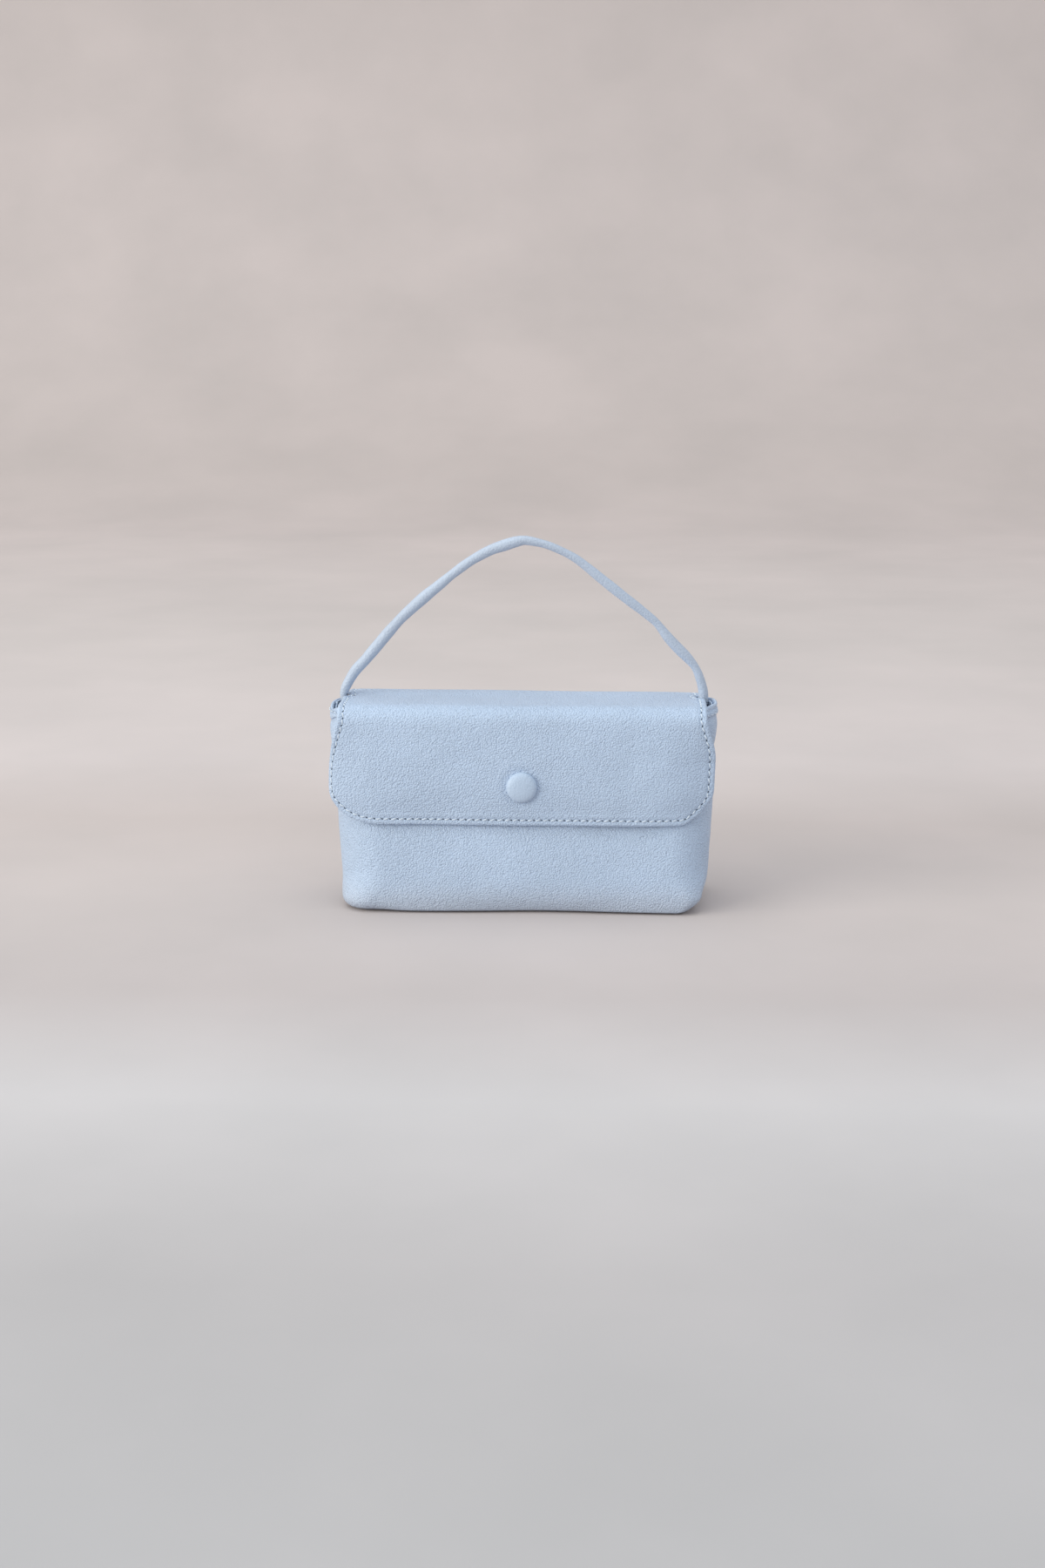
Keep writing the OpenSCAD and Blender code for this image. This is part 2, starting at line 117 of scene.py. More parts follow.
def soft_plan(z):
    """The slack pouch at a height: reach left, right, front and back, and its two corner radii."""
    full = rise(z, 4.0, 14.0) * fall(z, 66.0, 24.0)
    left = half_w(z) - 0.8 * fall(z, 47.0, 24.0) - 1.2 * rise(z, 86.0, 8.0)
    right = half_w(z) - 0.5 * rise(z, 58.0, 30.0) - 0.9 * rise(z, 89.0, 6.0)
    right = right - 4.6 * np.clip(1.0 - z / 24.0, 0.0, 1.0) ** 2
    right = right - 6.0 * np.clip(1.0 - z / 8.0, 0.0, 1.0) ** 1.3
    front = half_d(z) + 3.4 * (1.0 - np.clip(z / 43.0, 0.0, 1.0) ** 2)
    front = front - 1.6 * np.clip(1.0 - z / 10.0, 0.0, 1.0) ** 2
    r = corner_r(z)
    r_left = r + 6.5 * full - 3.0 * fall(z, 10.0, 10.0)
    r_right = r + 2.0 * full - 11.5 * fall(z, 24.0, 20.0)
    return left, right, front, half_d(z), r_left, r_right


def waves(points, seed, count, low, high, power=1.0):
    """Soft unevenness: a sum of waves in fixed directions, about -1 to 1."""
    rng = np.random.RandomState(seed)
    total = np.zeros(points.shape[0])
    weight = 0.0
    for _ in range(count):
        length = low * (high / low) ** rng.rand()
        direction = rng.normal(size=points.shape[1])
        direction /= np.linalg.norm(direction)
        phase = rng.rand() * 2 * math.pi
        a = length**power
        total += a * np.sin(points @ direction * (2 * math.pi / length) + phase)
        weight += a * a / 2
    return total / math.sqrt(weight) / 2.2


# Meshes: helpers
def in_scene(name, data):
    """A new object in the scene."""
    obj = bpy.data.objects.new(name, data)
    bpy.context.scene.collection.objects.link(obj)
    return obj


def smooth_mesh(name, points, faces, materials):
    """A smooth mesh from points in metres."""
    mesh = bpy.data.meshes.new(name)
    mesh.from_pydata(points, [], faces)
    mesh.update()
    mesh.polygons.foreach_set("use_smooth", [True] * len(mesh.polygons))
    for m in materials:
        mesh.materials.append(m)
    return mesh


def make_piece(name, verts, faces, materials, marks=None):
    """A named piece from points in mm, with its materials."""
    mesh = smooth_mesh(name, [tuple(v) for v in np.asarray(verts, float) * MM], faces, materials)
    if marks is not None:
        mesh.polygons.foreach_set("material_index", marks)
    obj = in_scene(name, mesh)
    return obj


def quads(rows, cols, flip=False, wrap=False):
    """Faces of a grid of points given row by row. A wrapped grid closes on itself across."""
    out = []
    for i in range(rows - 1):
        for j in range(cols if wrap else cols - 1):
            p = i * cols + j
            q = i * cols + (j + 1) % cols
            out.append((p, q, q + cols, p + cols) if flip else (p, p + cols, q + cols, q))
    return out


def run_along(points):
    """Distance along a line at each of its points."""
    return np.concatenate([[0], np.cumsum(np.linalg.norm(np.diff(points, axis=0), axis=1))])


def directions(path):
    """Direction of a path at each of its points."""
    run = np.gradient(path, axis=0)
    return run / np.linalg.norm(run, axis=1)[:, None]


def seam_depth(angle):
    """Shape of the rolled strap's seam round its section: a groove with a soft lip beside it."""
    d = (angle - math.pi * 1.08 + math.pi) % (2 * math.pi) - math.pi
    return hump(d, 0.0, 0.16) - 0.5 * hump(d, 0.42, 0.3)


def tube(path, radii, sides, squeeze=None, groove=0.0):
    """Rings along a path across the bag. radii is one per point, squeeze gives side and depth scales."""
    path = np.asarray(path, float)
    rows = len(path)
    verts = []
    for i, t in enumerate(directions(path)):
        side = np.array([-t[2], 0.0, t[0]])
        side = side / np.linalg.norm(side)
        deep = np.cross(t, side)
        wide, thick = (1.0, 1.0) if squeeze is None else squeeze[i]
        for k in range(sides):
            a = 2 * math.pi * k / sides
            r = radii[i] - groove * seam_depth(a)
            verts.append(path[i] + side * math.cos(a) * r * wide + deep * math.sin(a) * r * thick)
    faces = quads(rows, sides, wrap=True)
    first = len(verts)
    verts += [path[0], path[-1]]
    for k in range(sides):
        after = (k + 1) % sides
        faces.append((first, k, after))
        faces.append((first + 1, (rows - 1) * sides + after, (rows - 1) * sides + k))
    return np.array(verts), faces


# Materials: helpers
def node_material(name):
    """A new node material with its tree and its shader."""
    material = bpy.data.materials.new(name)
    material.use_nodes = True
    tree = material.node_tree
    return material, tree, tree.nodes["Principled BSDF"]


def fill(tree, item, inputs):
    """Gives each input a value, or a link from another node's output."""
    for name, value in inputs.items():
        if isinstance(value, bpy.types.NodeSocket):
            tree.links.new(value, item.inputs[name])
        else:
            item.inputs[name].default_value = value


def add(tree, kind, inputs, output=0, **settings):
    """A new shader node with its settings and inputs. The result is one of its outputs."""
    item = tree.nodes.new("ShaderNode" + kind)
    for name, value in settings.items():
        setattr(item, name, value)
    fill(tree, item, inputs)
    return item.outputs[output]


def object_point(tree):
    return add(tree, "TexCoord", {}, "Object")


def noise(tree, point, scale, detail, rough=0.5, distortion=0.0, output="Fac"):
    """Noise at a scale per metre."""
    values = {"Vector": point, "Scale": scale, "Detail": detail, "Roughness": rough, "Distortion": distortion}
    return add(tree, "TexNoise", values, output)


def fit_range(tree, value, low, high, to_low, to_high, kind="LINEAR"):
    """Takes a value from one range to another. kind is LINEAR or SMOOTHSTEP."""
    values = {"Value": value, "From Min": low, "From Max": high, "To Min": to_low, "To Max": to_high}
    return add(tree, "MapRange", values, "Result", interpolation_type=kind)


def bump(tree, height, strength, depth, under=None, invert=False):
    """Bump from a height, on top of another. Its depth is in metres."""
    values = {"Height": height, "Strength": strength, "Distance": depth}
    if under is not None:
        values["Normal"] = under
    return add(tree, "Bump", values, "Normal", invert=invert)


def ramp(tree, value, stops):
    """A colour for a value, from places and colours."""
    item = tree.nodes.new("ShaderNodeValToRGB")
    while len(item.color_ramp.elements) < len(stops):
        item.color_ramp.elements.new(1.0)
    for element, (place, colour) in zip(item.color_ramp.elements, stops):
        element.position = place
        element.color = (*colour, 1.0)
    fill(tree, item, {"Fac": value})
    return item.outputs["Color"]


def mixed(tree, blend, factor, base, colour):
    """Lays a colour over a base by a factor. blend is MIX or MULTIPLY."""
    item = tree.nodes.new("ShaderNodeMix")
    item.data_type = "RGBA"
    item.blend_type = blend
    fill(tree, item, {"Factor": factor, "A": base, "B": colour})
    return item.outputs["Result"]


def shade(colour, share):
    return tuple(min(1.0, c * share) for c in colour)


def dress(tree, shader, pattern, stops, strength, depth):
    """Lays one pattern on a shader as its tone and as its bump."""
    tone = ramp(tree, pattern, stops)
    fill(tree, shader, {"Base Color": tone, "Normal": bump(tree, pattern, strength, depth)})


# Materials: leather
def pebbles(tree, point):
    """Distance from the middle of each cell of the grain, with the cells pushed about unevenly."""
    warp = noise(tree, point, 560.0, 2.0, output="Color")
    centred = add(tree, "VectorMath", {0: warp, 1: (0.5, 0.5, 0.5)}, operation="SUBTRACT")
    push = add(tree, "VectorMath", {0: centred, "Scale": 0.0007}, operation="SCALE")
    moved = add(tree, "VectorMath", {0: point, 1: push}, operation="ADD")
    values = {"Vector": moved, "Scale": 1180.0, "Randomness": 0.95}
    return add(tree, "TexVoronoi", values, "Distance", feature="F1")


def foot_shade_and_creases(tree, place, point, tint, normal):
    """Where the wall turns under the base: a faint painted shade that greys the tone towards the floor, and
    upright creases in the bump.
    """
    height = add(tree, "SeparateXYZ", {"Vector": place}, "Z")
    # painted shade: the tone greys towards the floor
    foot_shade = fit_range(tree, height, 0.001, 0.019, 0.5, 0.0, "SMOOTHSTEP")
    tint = mixed(tree, "MIX", foot_shade, tint, (0.44, 0.47, 0.54, 1.0))
    upright = add(tree, "Mapping", {"Vector": point, "Scale": (1.0, 1.0, 0.12)})
    fade = fit_range(tree, height, 0.003, 0.016, 0.8, 0.0, "SMOOTHSTEP")
    return tint, bump(tree, noise(tree, upright, 620.0, 3.0, 0.55), fade, 0.0004, normal)


def leather(name, colour, grain=1.0, rough=0.46, seed=0.0, wrinkles=1.0, shaded_creased_foot=False):
    """Pebbled satin leather: cells, fine pores and soft creases in the bump, uneven tone, and painted shade
    in the valleys between the cells.
    """
    material, tree, shader = node_material(name)
    place = object_point(tree)
    shift = (seed, seed * 0.7, seed * 1.3)
    point = add(tree, "Mapping", {"Vector": place, "Location": shift})
    cells = pebbles(tree, point)
    pores = noise(tree, point, 1800.0, 3.0, 0.6)
    creases = noise(tree, point, 290.0, 5.0, 0.62, 0.9)
    cloud = noise(tree, point, 26.0, 3.0)

    tint = ramp(tree, cloud, [(0.32, shade(colour, 0.985)), (0.68, shade(colour, 1.065))])
    # painted shade: the valleys between the grain's cells are darkened in the tone
    valley_shade = fit_range(tree, cells, 0.25, 0.95, 0.0, 0.24 * grain)
    tint = mixed(tree, "MULTIPLY", valley_shade, tint, (0.62, 0.66, 0.74, 1.0))
    normal = bump(tree, cells, 1.0 * grain, 0.0005, invert=True)
    normal = bump(tree, pores, 0.8 * grain, 0.0003, normal)
    normal = bump(tree, creases, 0.14 * wrinkles, 0.0006, normal)
    if shaded_creased_foot:
        tint, normal = foot_shade_and_creases(tree, place, point, tint, normal)

    gloss = fit_range(tree, creases, 0.0, 1.0, rough - 0.05, rough + 0.09)
    fill(tree, shader, {"Base Color": tint, "Roughness": gloss, "Normal": normal})
    fill(tree, shader, {"Specular IOR Level": 0.4, "Sheen Weight": 0.05, "Sheen Roughness": 0.4})
    return material


# Materials: cloth, metal, thread and dull sheets
def woven(name, colour):
    """Plain weave: uneven threads across and down, in the tone and the bump."""
    material, tree, shader = node_material(name)
    place = object_point(tree)
    slubs = []
    for stretch in ((0.06, 1.0, 1.0), (1.0, 0.06, 0.06)):
        along = add(tree, "Mapping", {"Vector": place, "Scale": stretch})
        slubs.append(noise(tree, along, 900.0, 2.0))
    both = add(tree, "Math", {0: slubs[0], 1: slubs[1]}, operation="ADD")
    half = add(tree, "Math", {0: both, 1: 0.5}, operation="MULTIPLY")
    dress(tree, shader, half, [(0.35, shade(colour, 0.9)), (0.65, shade(colour, 1.06))], 0.6, 0.00025)
    fill(tree, shader, {"Roughness": 0.82, "Sheen Weight": 0.25})
    return material


def metal(name, colour, rough=0.3):
    """Brushed metal: fine lines in the tone, the gloss and the bump."""
    material, tree, shader = node_material(name)
    stretch = add(tree, "Mapping", {"Vector": object_point(tree), "Scale": (1.0, 14.0, 1.0)})
    lines = noise(tree, stretch, 900.0, 4.0)
    dress(tree, shader, lines, [(0.3, shade(colour, 0.86)), (0.75, shade(colour, 1.08))], 0.15, 0.00003)
    wear = fit_range(tree, lines, 0.0, 1.0, rough - 0.08, rough + 0.14)
    fill(tree, shader, {"Roughness": wear, "Metallic": 1.0})
    return material


def thread(name, colour):
    """Twisted thread: slanting bands in the tone and the bump."""
    material, tree, shader = node_material(name)
    values = {"Vector": object_point(tree), "Scale": 2600.0, "Distortion": 1.0}
    twist = add(tree, "TexWave", values, "Fac", wave_type="BANDS", bands_direction="DIAGONAL")
    dress(tree, shader, twist, [(0.1, shade(colour, 0.8)), (0.7, colour)], 0.5, 0.00008)
    fill(tree, shader, {"Roughness": 0.55, "Sheen Weight": 0.2})
    return material


def dull(name, colour, rough):
    """Matt sheet with a fine grain."""
    material, tree, shader = node_material(name)
    grain = noise(tree, object_point(tree), 700.0, 5.0, 0.6)
    dress(tree, shader, grain, [(0.3, shade(colour, 0.8)), (0.7, shade(colour, 1.15))], 0.3, 0.0001)
    fill(tree, shader, {"Roughness": rough})
    return material


BLUE = (0.445, 0.552, 0.723)
# the handle and the button are the same leather as the bag: these darker, greyer copies of the blue are
# painted shade
ROLLED_SHADED_BLUE, STRETCHED_SHADED_BLUE = (0.42, 0.49, 0.61), (0.405, 0.5, 0.645)
body_leather = leather("blue_leather", BLUE, rough=0.39)
# the pouch's leather has painted shade at its foot, greying towards the floor
pouch_material = leather("blue_leather_pouch", BLUE, rough=0.41, seed=0.13, shaded_creased_foot=True)
handle_leather = leather("blue_leather_rolled_shaded", ROLLED_SHADED_BLUE, 0.5, 0.36, 0.31, 0.6)
button_leather = leather("blue_leather_stretched_shaded", STRETCHED_SHADED_BLUE, 0.3, 0.42, 0.57, 0.3)
lining_cloth = woven("woven_lining", (0.58, 0.55, 0.50))
# the thread is lighter than the leather: partly its own light tone, partly a painted highlight
thread_blue = thread("blue_thread", (0.66, 0.76, 0.89))
# painted shade: a dark sheet stands for the shade in each needle hole
hole_shade = dull("needle_hole_shade", (0.09, 0.12, 0.17), 0.9)
snap_metal = metal("plated_steel", (0.62, 0.62, 0.60))
magnet_metal = metal("sintered_magnet", (0.20, 0.20, 0.21), 0.42)
board_sheet = dull("base_board_sheet", (0.08, 0.08, 0.09), 0.7)
cord_cotton = thread("cotton_cord", (0.70, 0.68, 0.62))


# Pouch
def plan_keys():
    """Places round the plan: a straight or a corner (rf, rb, lb, lf), and a share along it."""
    def even(kind, count):
        return [(kind, k / count) for k in range(count)]

    ends = [-s for s in reversed(END_SHARES[1:])] + END_SHARES[:-1]
    keys = even("front", FRONT_STEPS) + even("rf", ARC_STEPS) + [("right", s) for s in ends]
    keys += even("rb", ARC_STEPS) + even("back", FRONT_STEPS) + even("lb", ARC_STEPS)
    return keys + [("left", s) for s in ends] + even("lf", ARC_STEPS)


KEYS = plan_keys()


def edge_extra(kind, t):
    """How much rounder the lower edge is than on the straights: soft at the left, tight at the right."""
    soft, tight = 3.6, 0.4
    if kind not in ("front", "back"):
        return soft if kind[0] == "l" else -tight
    toward_left = 1 - t if kind == "front" else t
    return soft * rise(toward_left, 0.86, 0.14) - tight * fall(toward_left, 0.1, 0.1)


CORNER_TURNS = {"rf": -1, "rb": 0, "lb": 1, "lf": 2}


def plan_point(kind, t, z, inset):
    """Point on the plan at a height and inset, and its outward direction."""
    left, right, front, back, r_left, r_right = soft_plan(z)
    r = r_right if kind[0] == "r" else r_left
    lx, rx = -(left - r_left), right - r_right
    fy, by = -(front - r), back - r
    if kind == "front":
        return (lx + (rx - lx) * t, -(front - inset), 0.0, -1.0)
    if kind == "back":
        return (rx + (lx - rx) * t, back - inset, 0.0, 1.0)
    if kind == "right":
        return (right - inset, (fy + by) / 2 + (by - fy) / 2 * t, 1.0, 0.0)
    if kind == "left":
        return (-(left - inset), (fy + by) / 2 - (by - fy) / 2 * t, -1.0, 0.0)
    a = (CORNER_TURNS[kind] + t) * math.pi / 2
    nx, ny = math.cos(a), math.sin(a)
    x = (rx if kind[0] == "r" else lx) + (r - inset) * nx
    y = (by if kind[1] == "b" else fy) + (r - inset) * ny
    return (x, y, nx, ny)


def sag(points):
    """How far the soft walls stand out or in, in mm, at points in mm."""
    x, y, z = points[:, 0], points[:, 1], points[:, 2]
    held = smooth01(z / 9.0) * fall(z, 90.0, 22.0)
    big = 0.55 * waves(points, 11, 14, 38.0, 95.0)
    small = 0.13 * waves(points, 23, 18, 9.0, 22.0, 0.6)
    belly = 0.5 * hump(z, 24.0, 20.0) * hump(x, 0.0, 62.0)
    dent = -0.9 * hump(z, 72.0, 13.0) * rise(np.abs(x), 70.0, 18.0)
    dent = dent - 1.2 * hump(z, 77.0, 8.0) * rise(x, 80.0, 12.0)
    # soft diagonal crease above the right front corner and a weaker one on the left
    line = (x - 79.0) * 0.62 + (z - 16.0) * 0.78
    crease = -0.7 * hump(line, 0.0, 3.4) * hump(z, 13.0, 9.0) * rise(x, 60.0, 14.0)
    line2 = (x + 80.0) * 0.5 - (z - 18.0) * 0.85
    crease2 = -0.35 * hump(line2, 0.0, 5.0) * hump(z, 18.0, 11.0) * rise(-x, 60.0, 14.0)
    snap = hump(np.hypot(x, z - SNAP_Z), 0.0, 11.0) * (y < 0)
    hollow = -3.0 * hump(x, 12.0, 34.0) * np.clip(1.0 - z / 16.0, 0.0, 1.0) ** 2 * (y < 0)
    return (big + small + belly + dent) * held * (1 - snap) + (crease + crease2) * smooth01(z / 4.0) + hollow


def mouth_dip(x, y, z):
    """The mouth's left end hangs a little at the front, so that its opening shows as an oval."""
    return -2.7 * hump(y, -5.5, 5.0) * rise(-x, 82.0, 8.0) * rise(z, 86.0, 9.0)


def shell_rings(side_off, floor_off, edge_r, levels, top):
    """Rings of a wall layer from the bottom edge up, with its rounded lower edge."""
    rings = []
    for k in range(EDGE_STEPS + levels + 1):
        ring = []
        for kind, t in KEYS:
            r = edge_r + edge_extra(kind, t)
            if k <= EDGE_STEPS:
                a = math.pi / 2 * (1 - k / EDGE_STEPS)
                z = floor_off + r * (1 - math.sin(a))
                inset = side_off + r * (1 - math.cos(a))
            else:
                low = floor_off + r
                z = low + (top - low) * (k - EDGE_STEPS) / levels
                inset = side_off
            x, y, nx, ny = plan_point(kind, t, z, inset)
            ring.append((x, y, z, nx, ny))
        rings.append(ring)
    data = np.array(rings)
    flat = data.reshape(-1, 5)
    points, out = flat[:, :3], np.pad(flat[:, 3:], ((0, 0), (0, 1)))
    points += out * sag(points + out * side_off)[:, None]
    points[:, 2] += mouth_dip(*points.T)
    return data[:, :, :3]


def bottom_rings(ring, steps, z, rim=0.0):
    """Closes the floor: rings that shrink towards the middle line, down from a raised rim."""
    out = []
    reach = BASE_W / 2 - BASE_D / 2
    for k in range(1, steps + 1):
        f = k / steps
        target = np.stack([np.clip(ring[:, 0], -reach, reach), 0 * ring[:, 1], 0 * ring[:, 2] + z], 1)
        p = ring * (1 - f) + target * f
        p[:, 2] = z + rim * min(1.0, max(0.0, 2.2 - 4.5 * f))
        out.append(p)
    return out


def shell(name, side_off, floor_off, edge_r, thick, levels, top, material, rim=0.0):
    """A wall layer with its floor, as one closed skin: outer face, rolled top edge and inner face."""
    outer = shell_rings(side_off, floor_off, edge_r, levels, top)
    outer[:, :, 2] = np.maximum(outer[:, :, 2], floor_off + rim)
    inner = shell_rings(side_off + thick, floor_off + thick, edge_r - thick * 0.8, levels, top)
    top_edge = 0.5 * (outer[-1] + inner[-1])
    top_edge[:, 2] += thick * 0.32
    stack = bottom_rings(outer[0], FLOOR_RINGS, floor_off, rim)[::-1]
    stack += [*outer, top_edge, *inner[::-1]]
    stack += bottom_rings(inner[0], FLOOR_RINGS, floor_off + thick)
    faces = quads(len(stack), len(KEYS), flip=True, wrap=True)
    return make_piece(name, np.concatenate(stack), faces, [material])


pouch = shell("pouch_leather", 0.0, 0.0, EDGE_CURVE, LEATHER_T, 62, WALL_H - 0.8,
              pouch_material, rim=RAISED_RIM)
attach(pouch, "pouch")
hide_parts("front_panel", "back_panel", "base_panel")

lining = shell("pouch_lining", LINING_OFF, LINING_FLOOR, LINING_CURVE, LINING_T, 40, LINING_TOP,
               lining_cloth)
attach(lining, "pouch")
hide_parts("lining_front", "lining_back", "lining_base")


def board():
    """Stiff sheet under the lining, cut a little short of the slack leather's rounded edge."""
    rings = []
    for inset, z in ((7.6, 1.32), (7.3, 1.42), (7.25, 2.1), (7.3, 2.7), (7.6, 2.8)):
        rings.append(np.array([plan_point(kind, t, 3.0, inset)[:2] + (z,) for kind, t in KEYS]))
    stack = bottom_rings(rings[0], 7, 1.32)[::-1] + rings + bottom_rings(rings[-1], 7, 2.8)
    faces = quads(len(stack), len(KEYS), flip=True, wrap=True)
    return make_piece("stiff_board", np.concatenate(stack), faces, [board_sheet])


stiff = board()
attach(stiff, "pouch")
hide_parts("base_board")


# Turned band round the mouth
def band_keys():
    """Places along the band: from the back at the left, round the front, to the back at the right."""
    end, corner = (-0.5, 0.0, 0.5), np.linspace(0.0, 1.0, 24)
    runs = (("lb", np.linspace(0.02, 1.0, 22)), ("left", end), ("lf", corner),
            ("front", np.linspace(0.0, 1.0, 110)[1:]),
            ("rf", corner[1:]), ("right", end), ("rb", np.linspace(0.0, 0.98, 22)))
    return [(kind, t) for kind, shares in runs for t in shares]


def band_section():
    """Inset from the outer face and height: hem, thin rolled rim, gap and inner fold."""
    hem = [(-0.05, 93.3), (-0.50, 93.36), (-0.70, 93.65), (-0.76, 94.2), (-0.72, 94.9), (-0.58, 95.35)]
    outside = [(-0.22, 95.58), (-0.02, 95.8), (-0.10, 96.15), (-0.24, 96.8), (-0.26, 97.4), (-0.12, 97.85)]
    rim = [(0.18, 98.12), (0.56, 98.18), (0.94, 98.08), (1.22, 97.75), (1.32, 97.2), (1.36, 96.0)]
    gap = [(1.4, 94.9), (1.55, 94.6), (1.78, 94.9), (1.84, 96.0), (1.92, 96.85)]
    fold = [(2.16, 97.25), (2.45, 97.3), (2.72, 97.05), (2.85, 96.4), (2.84, 94.0), (2.86, 91.0)]
    inside = [(2.7, 89.8), (2.38, 89.7), (2.3, 92.0), (2.2, 94.2), (1.2, 94.1), (0.1, 94.0)]
    return hem + outside + rim + gap + fold + inside


def mouth_band():
    """The band, a little uneven along its run, with its right end raised and its left end hanging."""
    keys = band_keys()
    section = band_section()
    verts = []
    for i, (kind, t) in enumerate(keys):
        wob = 0.10 * math.sin(i * 0.61) + 0.07 * math.sin(i * 0.237 + 1.0)
        for inset, z in section:
            x, y, nx, ny = plan_point(kind, t, min(z, WALL_H), 0.0)
            up = 1.6 * rise(x, 83.5, 8.0) * rise(z, 89.0, 6.0) + mouth_dip(x, y, z)
            lift = 0.6 * wob * (z > 96.5)
            out = inset - wob * 0.4
            verts.append((x - nx * out, y - ny * out, z + lift + up))
    n = len(section)
    faces = quads(len(keys), n, wrap=True)
    faces.append(tuple(range(n)))
    faces.append(tuple((len(keys) - 1) * n + k for k in reversed(range(n))))
    return make_piece("mouth_band", verts, faces, [body_leather])


band = mouth_band()
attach(band, "pouch")
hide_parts("mouth_binding")


# Flap: its profile, width and surface
def drop_reach(t):
    """How far the flap's front stands forward at a share of its drop."""
    return RIDGE_REACH + (LOW_REACH - RIDGE_REACH) * t + BELLY * 4 * t * (1 - t)


LAP_Z = 84.0
LAP_R = 3.0
LAP_OUT = 1.35
BEND_LEN = 17.5
BEND_TILT = math.atan((LOW_REACH - RIDGE_REACH + 4 * BELLY) / DROP_H)


def bend_curve():
    """How far the flap has come forward and down along its bend, which starts and ends softly."""
    steps = 56
    angle = (math.pi / 2 - BEND_TILT) * smooth01(np.linspace(0, 1, steps + 1))
    middle = 0.5 * (angle[1:] + angle[:-1])
    step = BEND_LEN / steps
    ahead = np.concatenate([[0], np.cumsum(np.cos(middle))]) * step
    down = np.concatenate([[0], np.cumsum(np.sin(middle))]) * step
    return ahead, down


BEND_AHEAD, BEND_FALL = bend_curve()
BEND_END_Z = TOP_Z - float(BEND_FALL[-1])
BEND_START_Y = float(BEND_AHEAD[-1]) - float(drop_reach((FOLD_CZ - BEND_END_Z) / DROP_H))


def flap_profile():
    """Outer face in the middle plane: from the lap on the back, over the top and down the front."""
    z = np.linspace(LAP_Z, TOP_Z - LAP_R, 20)
    lap = half_d(np.minimum(z, WALL_H)) + LAP_OUT
    cy, cz = lap[-1] - LAP_R, z[-1]
    a = np.linspace(0, math.pi / 2, 13)[1:]
    top = np.linspace(cy, BEND_START_Y, 40)[1:]
    t = np.linspace((FOLD_CZ - BEND_END_Z) / DROP_H, 1, 60)[1:]
    runs = ((lap, z), (cy + LAP_R * np.cos(a), cz + LAP_R * np.sin(a)), (top, 0 * top + TOP_Z),
            (BEND_START_Y - BEND_AHEAD[1:], TOP_Z - BEND_FALL[1:]), (-drop_reach(t), FOLD_CZ - DROP_H * t))
    return np.concatenate([np.stack(run, 1) for run in runs])


PROFILE = flap_profile()
ARC = run_along(PROFILE)
S_END = ARC[-1]


def profile_at(s):
    """Depth and height of a place along the profile."""
    return np.interp(s, ARC, PROFILE[:, 0]), np.interp(s, ARC, PROFILE[:, 1])


def s_at(y=None, z=None):
    """Place along the profile: on the top at y, or on the front at height z."""
    depth, height = PROFILE.T
    if y is not None:
        top = np.abs(height - TOP_Z) < 1e-6
        return float(np.interp(-y, -depth[top], ARC[top]))
    low = (height <= BEND_END_Z + 0.01) & (depth < 0)
    return float(np.interp(-z, -height[low], ARC[low]))


S_CUT = s_at(y=0.0)
S_FOLD = s_at(y=BEND_START_Y)
S_FRONT = s_at(z=BEND_END_Z)
S_CORNER = s_at(z=CORNER_Z)
S_SNAP = s_at(z=SNAP_Z)


def flap_half(s):
    """Half width of the flap at a place along its profile."""
    s = np.asarray(s, float)
    y, z = profile_at(s)
    t = np.clip((FOLD_CZ - z) / DROP_H, 0, 1)
    t_corner = (FOLD_CZ - CORNER_Z) / DROP_H
    flare = np.minimum(1, t / t_corner)
    turn = np.clip((t - t_corner) / (1 - t_corner), 0, 1)
    front = RIDGE_HALF + (WIDE_HALF - RIDGE_HALF) * flare * (2 - flare)
    front = front - CORNER_W * (1 - np.sqrt(np.maximum(0, 1 - turn * turn)))
    notch = fall(y, 4.4, 3.4)
    rear = rise(y, 8.2, 2.6) * fall(y, 19.5, 3.0)
    top = BESIDE_HALF + (RIDGE_HALF - BESIDE_HALF) * notch + 2.4 * rear
    return np.where(s < S_FOLD, top, front)


def flap_waves(x, s):
    """Soft unevenness of the flap, in mm along its normal, still where its two pieces meet."""
    p = np.stack([x, s], 1)
    soft = 0.34 * waves(p, 5, 14, 34.0, 90.0) + 0.10 * waves(p, 7, 16, 10.0, 24.0, 0.6)
    on_front = rise(s, S_FRONT - 4.0, 14.0)
    on_top = 0.35 * rise(np.abs(s - S_CUT), 1.8, 9.0) * fall(s, S_FRONT, 20.0)
    off_snap = np.hypot(x, s - S_SNAP)
    snap = hump(off_snap, 0.0, 12.0)
    dip = -0.35 * hump(off_snap, 8.2, 1.6)
    edge = 0.38 * rise(s, S_END - 26.0, 26.0) * (np.sin(x / 21.0 + 0.6) * 0.6 + np.sin(x / 9.5 + 2.0) * 0.25)
    edge = edge - 0.7 * rise(s, S_END - 15.0, 15.0)
    ridge = (0.45 - 0.0045 * x) * fall(s, S_CUT - 3.0, 10.0) * rise(s, 13.0, 4.0)
    bend = 0.35 * np.sin(x / 17.0 + 1.1) * hump(s, S_FRONT - 7.0, 6.0)
    return soft * np.maximum(on_front, on_top) * (1 - snap) + dip * on_front + edge + ridge + bend


